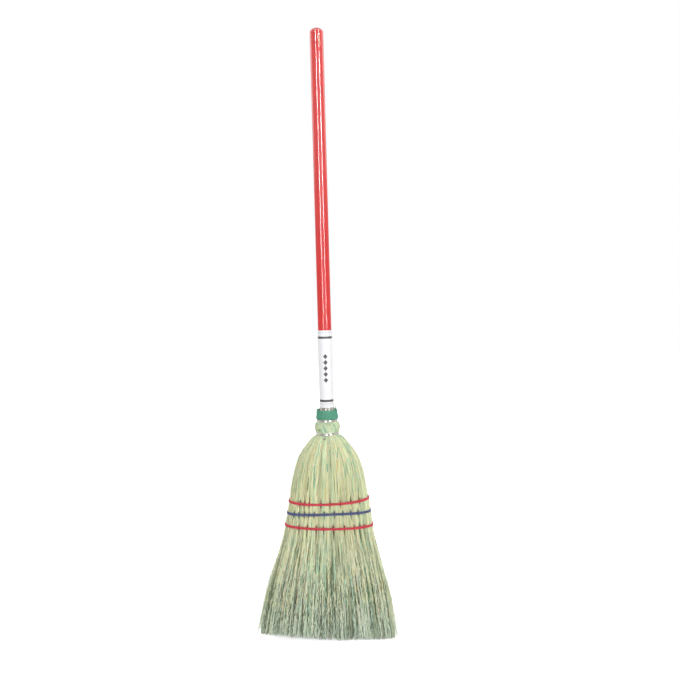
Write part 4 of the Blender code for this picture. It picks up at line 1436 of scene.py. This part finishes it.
class BROOM_OT_stage(bpy.types.Operator):
    """The floor, the lamps, the white surroundings and the camera"""

    bl_idname = "broom.stage"
    bl_label = "Stage"

    def execute(self, context):
        chosen = settings("stage")
        scene = context.scene
        mesh = bpy.data.meshes.new("floor")
        corners = [(x * FLOOR_HALF, y * FLOOR_HALF, 0) for x, y in ((-1, -1), (1, -1), (1, 1), (-1, 1))]
        mesh.from_pydata(corners, [], [(0, 1, 2, 3)])
        floor = make_object("floor", mesh)
        material, tree, shader = new_material("White paper floor")
        fill(tree, shader, {"Base Color": "#F4F4F4", "Roughness": 0.9, "Specular IOR Level": 0.0})
        seen = add(tree, "ShaderNodeLightPath").node.outputs["Is Camera Ray"]
        glow = add(tree, MATH, (seen, FLOOR_GLOW), operation="MULTIPLY")
        fill(tree, shader, {"Emission Color": "#FFFFFF", "Emission Strength": glow})
        mesh.materials.append(material)
        world = bpy.data.worlds.new("White surroundings")
        scene.world = world
        world.use_nodes = True
        tree = world.node_tree
        tree.nodes.clear()
        rays = add(tree, "ShaderNodeLightPath").node.outputs
        seen = add(tree, MATH, (rays["Is Camera Ray"], rays["Is Glossy Ray"]), operation="MAXIMUM")
        seen = add(tree, MATH, (seen, rays["Is Transmission Ray"]), operation="MAXIMUM")
        soft = add(tree, "ShaderNodeBackground", {"Color": (1, 1, 1, 1), "Strength": WORLD_LIGHT})
        white = add(tree, "ShaderNodeBackground", {"Color": (1, 1, 1, 1), "Strength": 1.0})
        chosen_light = add(tree, "ShaderNodeMixShader", (seen, soft, white))
        add(tree, "ShaderNodeOutputWorld", {"Surface": chosen_light})
        for name, (azimuth, power) in STRIPS.items():
            for suffix, shape, gain in (("_strip", STRIP, 1), ("_glint", GLINT, GLINT_POWER)):
                distance, height, *size = shape
                lamp = area_lamp(name + suffix, round_about(azimuth, distance, height), size, power * gain)
                lamp.visible_diffuse = shape is STRIP
        for name, (azimuth, strength) in RIM_SUNS.items():
            sun = bpy.data.lights.new(name, "SUN")
            sun.energy = strength
            sun.angle = radians(50)
            rim = bpy.data.objects.new(name, sun)
            scene.collection.objects.link(rim)
            beam = -Vector(round_about(azimuth, 1.0, RIM_HEIGHT))
            rim.rotation_euler = beam.to_track_quat("-Z", "Y").to_euler()
        scene.view_settings.view_transform = "Standard"
        data = bpy.data.cameras.new("camera")
        data.sensor_width = SENSOR_WIDTH
        data.lens = chosen.focal_pixels / IMAGE_SIDE * SENSOR_WIDTH
        data.clip_end = 50
        camera = bpy.data.objects.new("camera", data)
        scene.collection.objects.link(camera)
        turn = Matrix.Rotation(pi / 2 - chosen.pitch, 4, "X") @ Matrix.Rotation(chosen.roll, 4, "Z")
        camera.matrix_world = Matrix.Translation((chosen.aside, -chosen.distance, chosen.eye_height)) @ turn
        scene.camera = camera
        return {"FINISHED"}


OPERATORS = (
    BROOM_OT_handle,
    BROOM_OT_label,
    BROOM_OT_collar,
    BROOM_OT_wire,
    BROOM_OT_straw,
    BROOM_OT_twine,
    BROOM_OT_trim,
    BROOM_OT_stage,
)


class BROOM_PT_pieces(bpy.types.Panel):
    """Each piece of the broom with its sizes and colours"""

    bl_label = "Straw Broom"
    bl_idname = "BROOM_PT_pieces"
    bl_space_type = "VIEW_3D"
    bl_region_type = "UI"
    bl_category = "Straw Broom"

    def draw(self, context):
        for kind in OPERATORS:
            part = kind.bl_idname.split(".")[1]
            box = self.layout.box()
            box.operator(kind.bl_idname)
            if part in SETTINGS:
                for key in SETTINGS[part].__annotations__:
                    box.prop(getattr(context.scene, "broom_" + part), key)


def register():
    for part, kind in SETTINGS.items():
        bpy.utils.register_class(kind)
        setattr(bpy.types.Scene, "broom_" + part, bpy.props.PointerProperty(type=kind))
    for kind in OPERATORS:
        bpy.utils.register_class(kind)
    bpy.utils.register_class(BROOM_PT_pieces)


def unregister():
    bpy.utils.unregister_class(BROOM_PT_pieces)
    for kind in reversed(OPERATORS):
        bpy.utils.unregister_class(kind)
    for part, kind in SETTINGS.items():
        delattr(bpy.types.Scene, "broom_" + part)
        bpy.utils.unregister_class(kind)


def main():
    register()
    for kind in OPERATORS:
        piece = kind.bl_idname.split(".")[1]
        getattr(bpy.ops.broom, piece)()


if __name__ == "__main__":
    main()
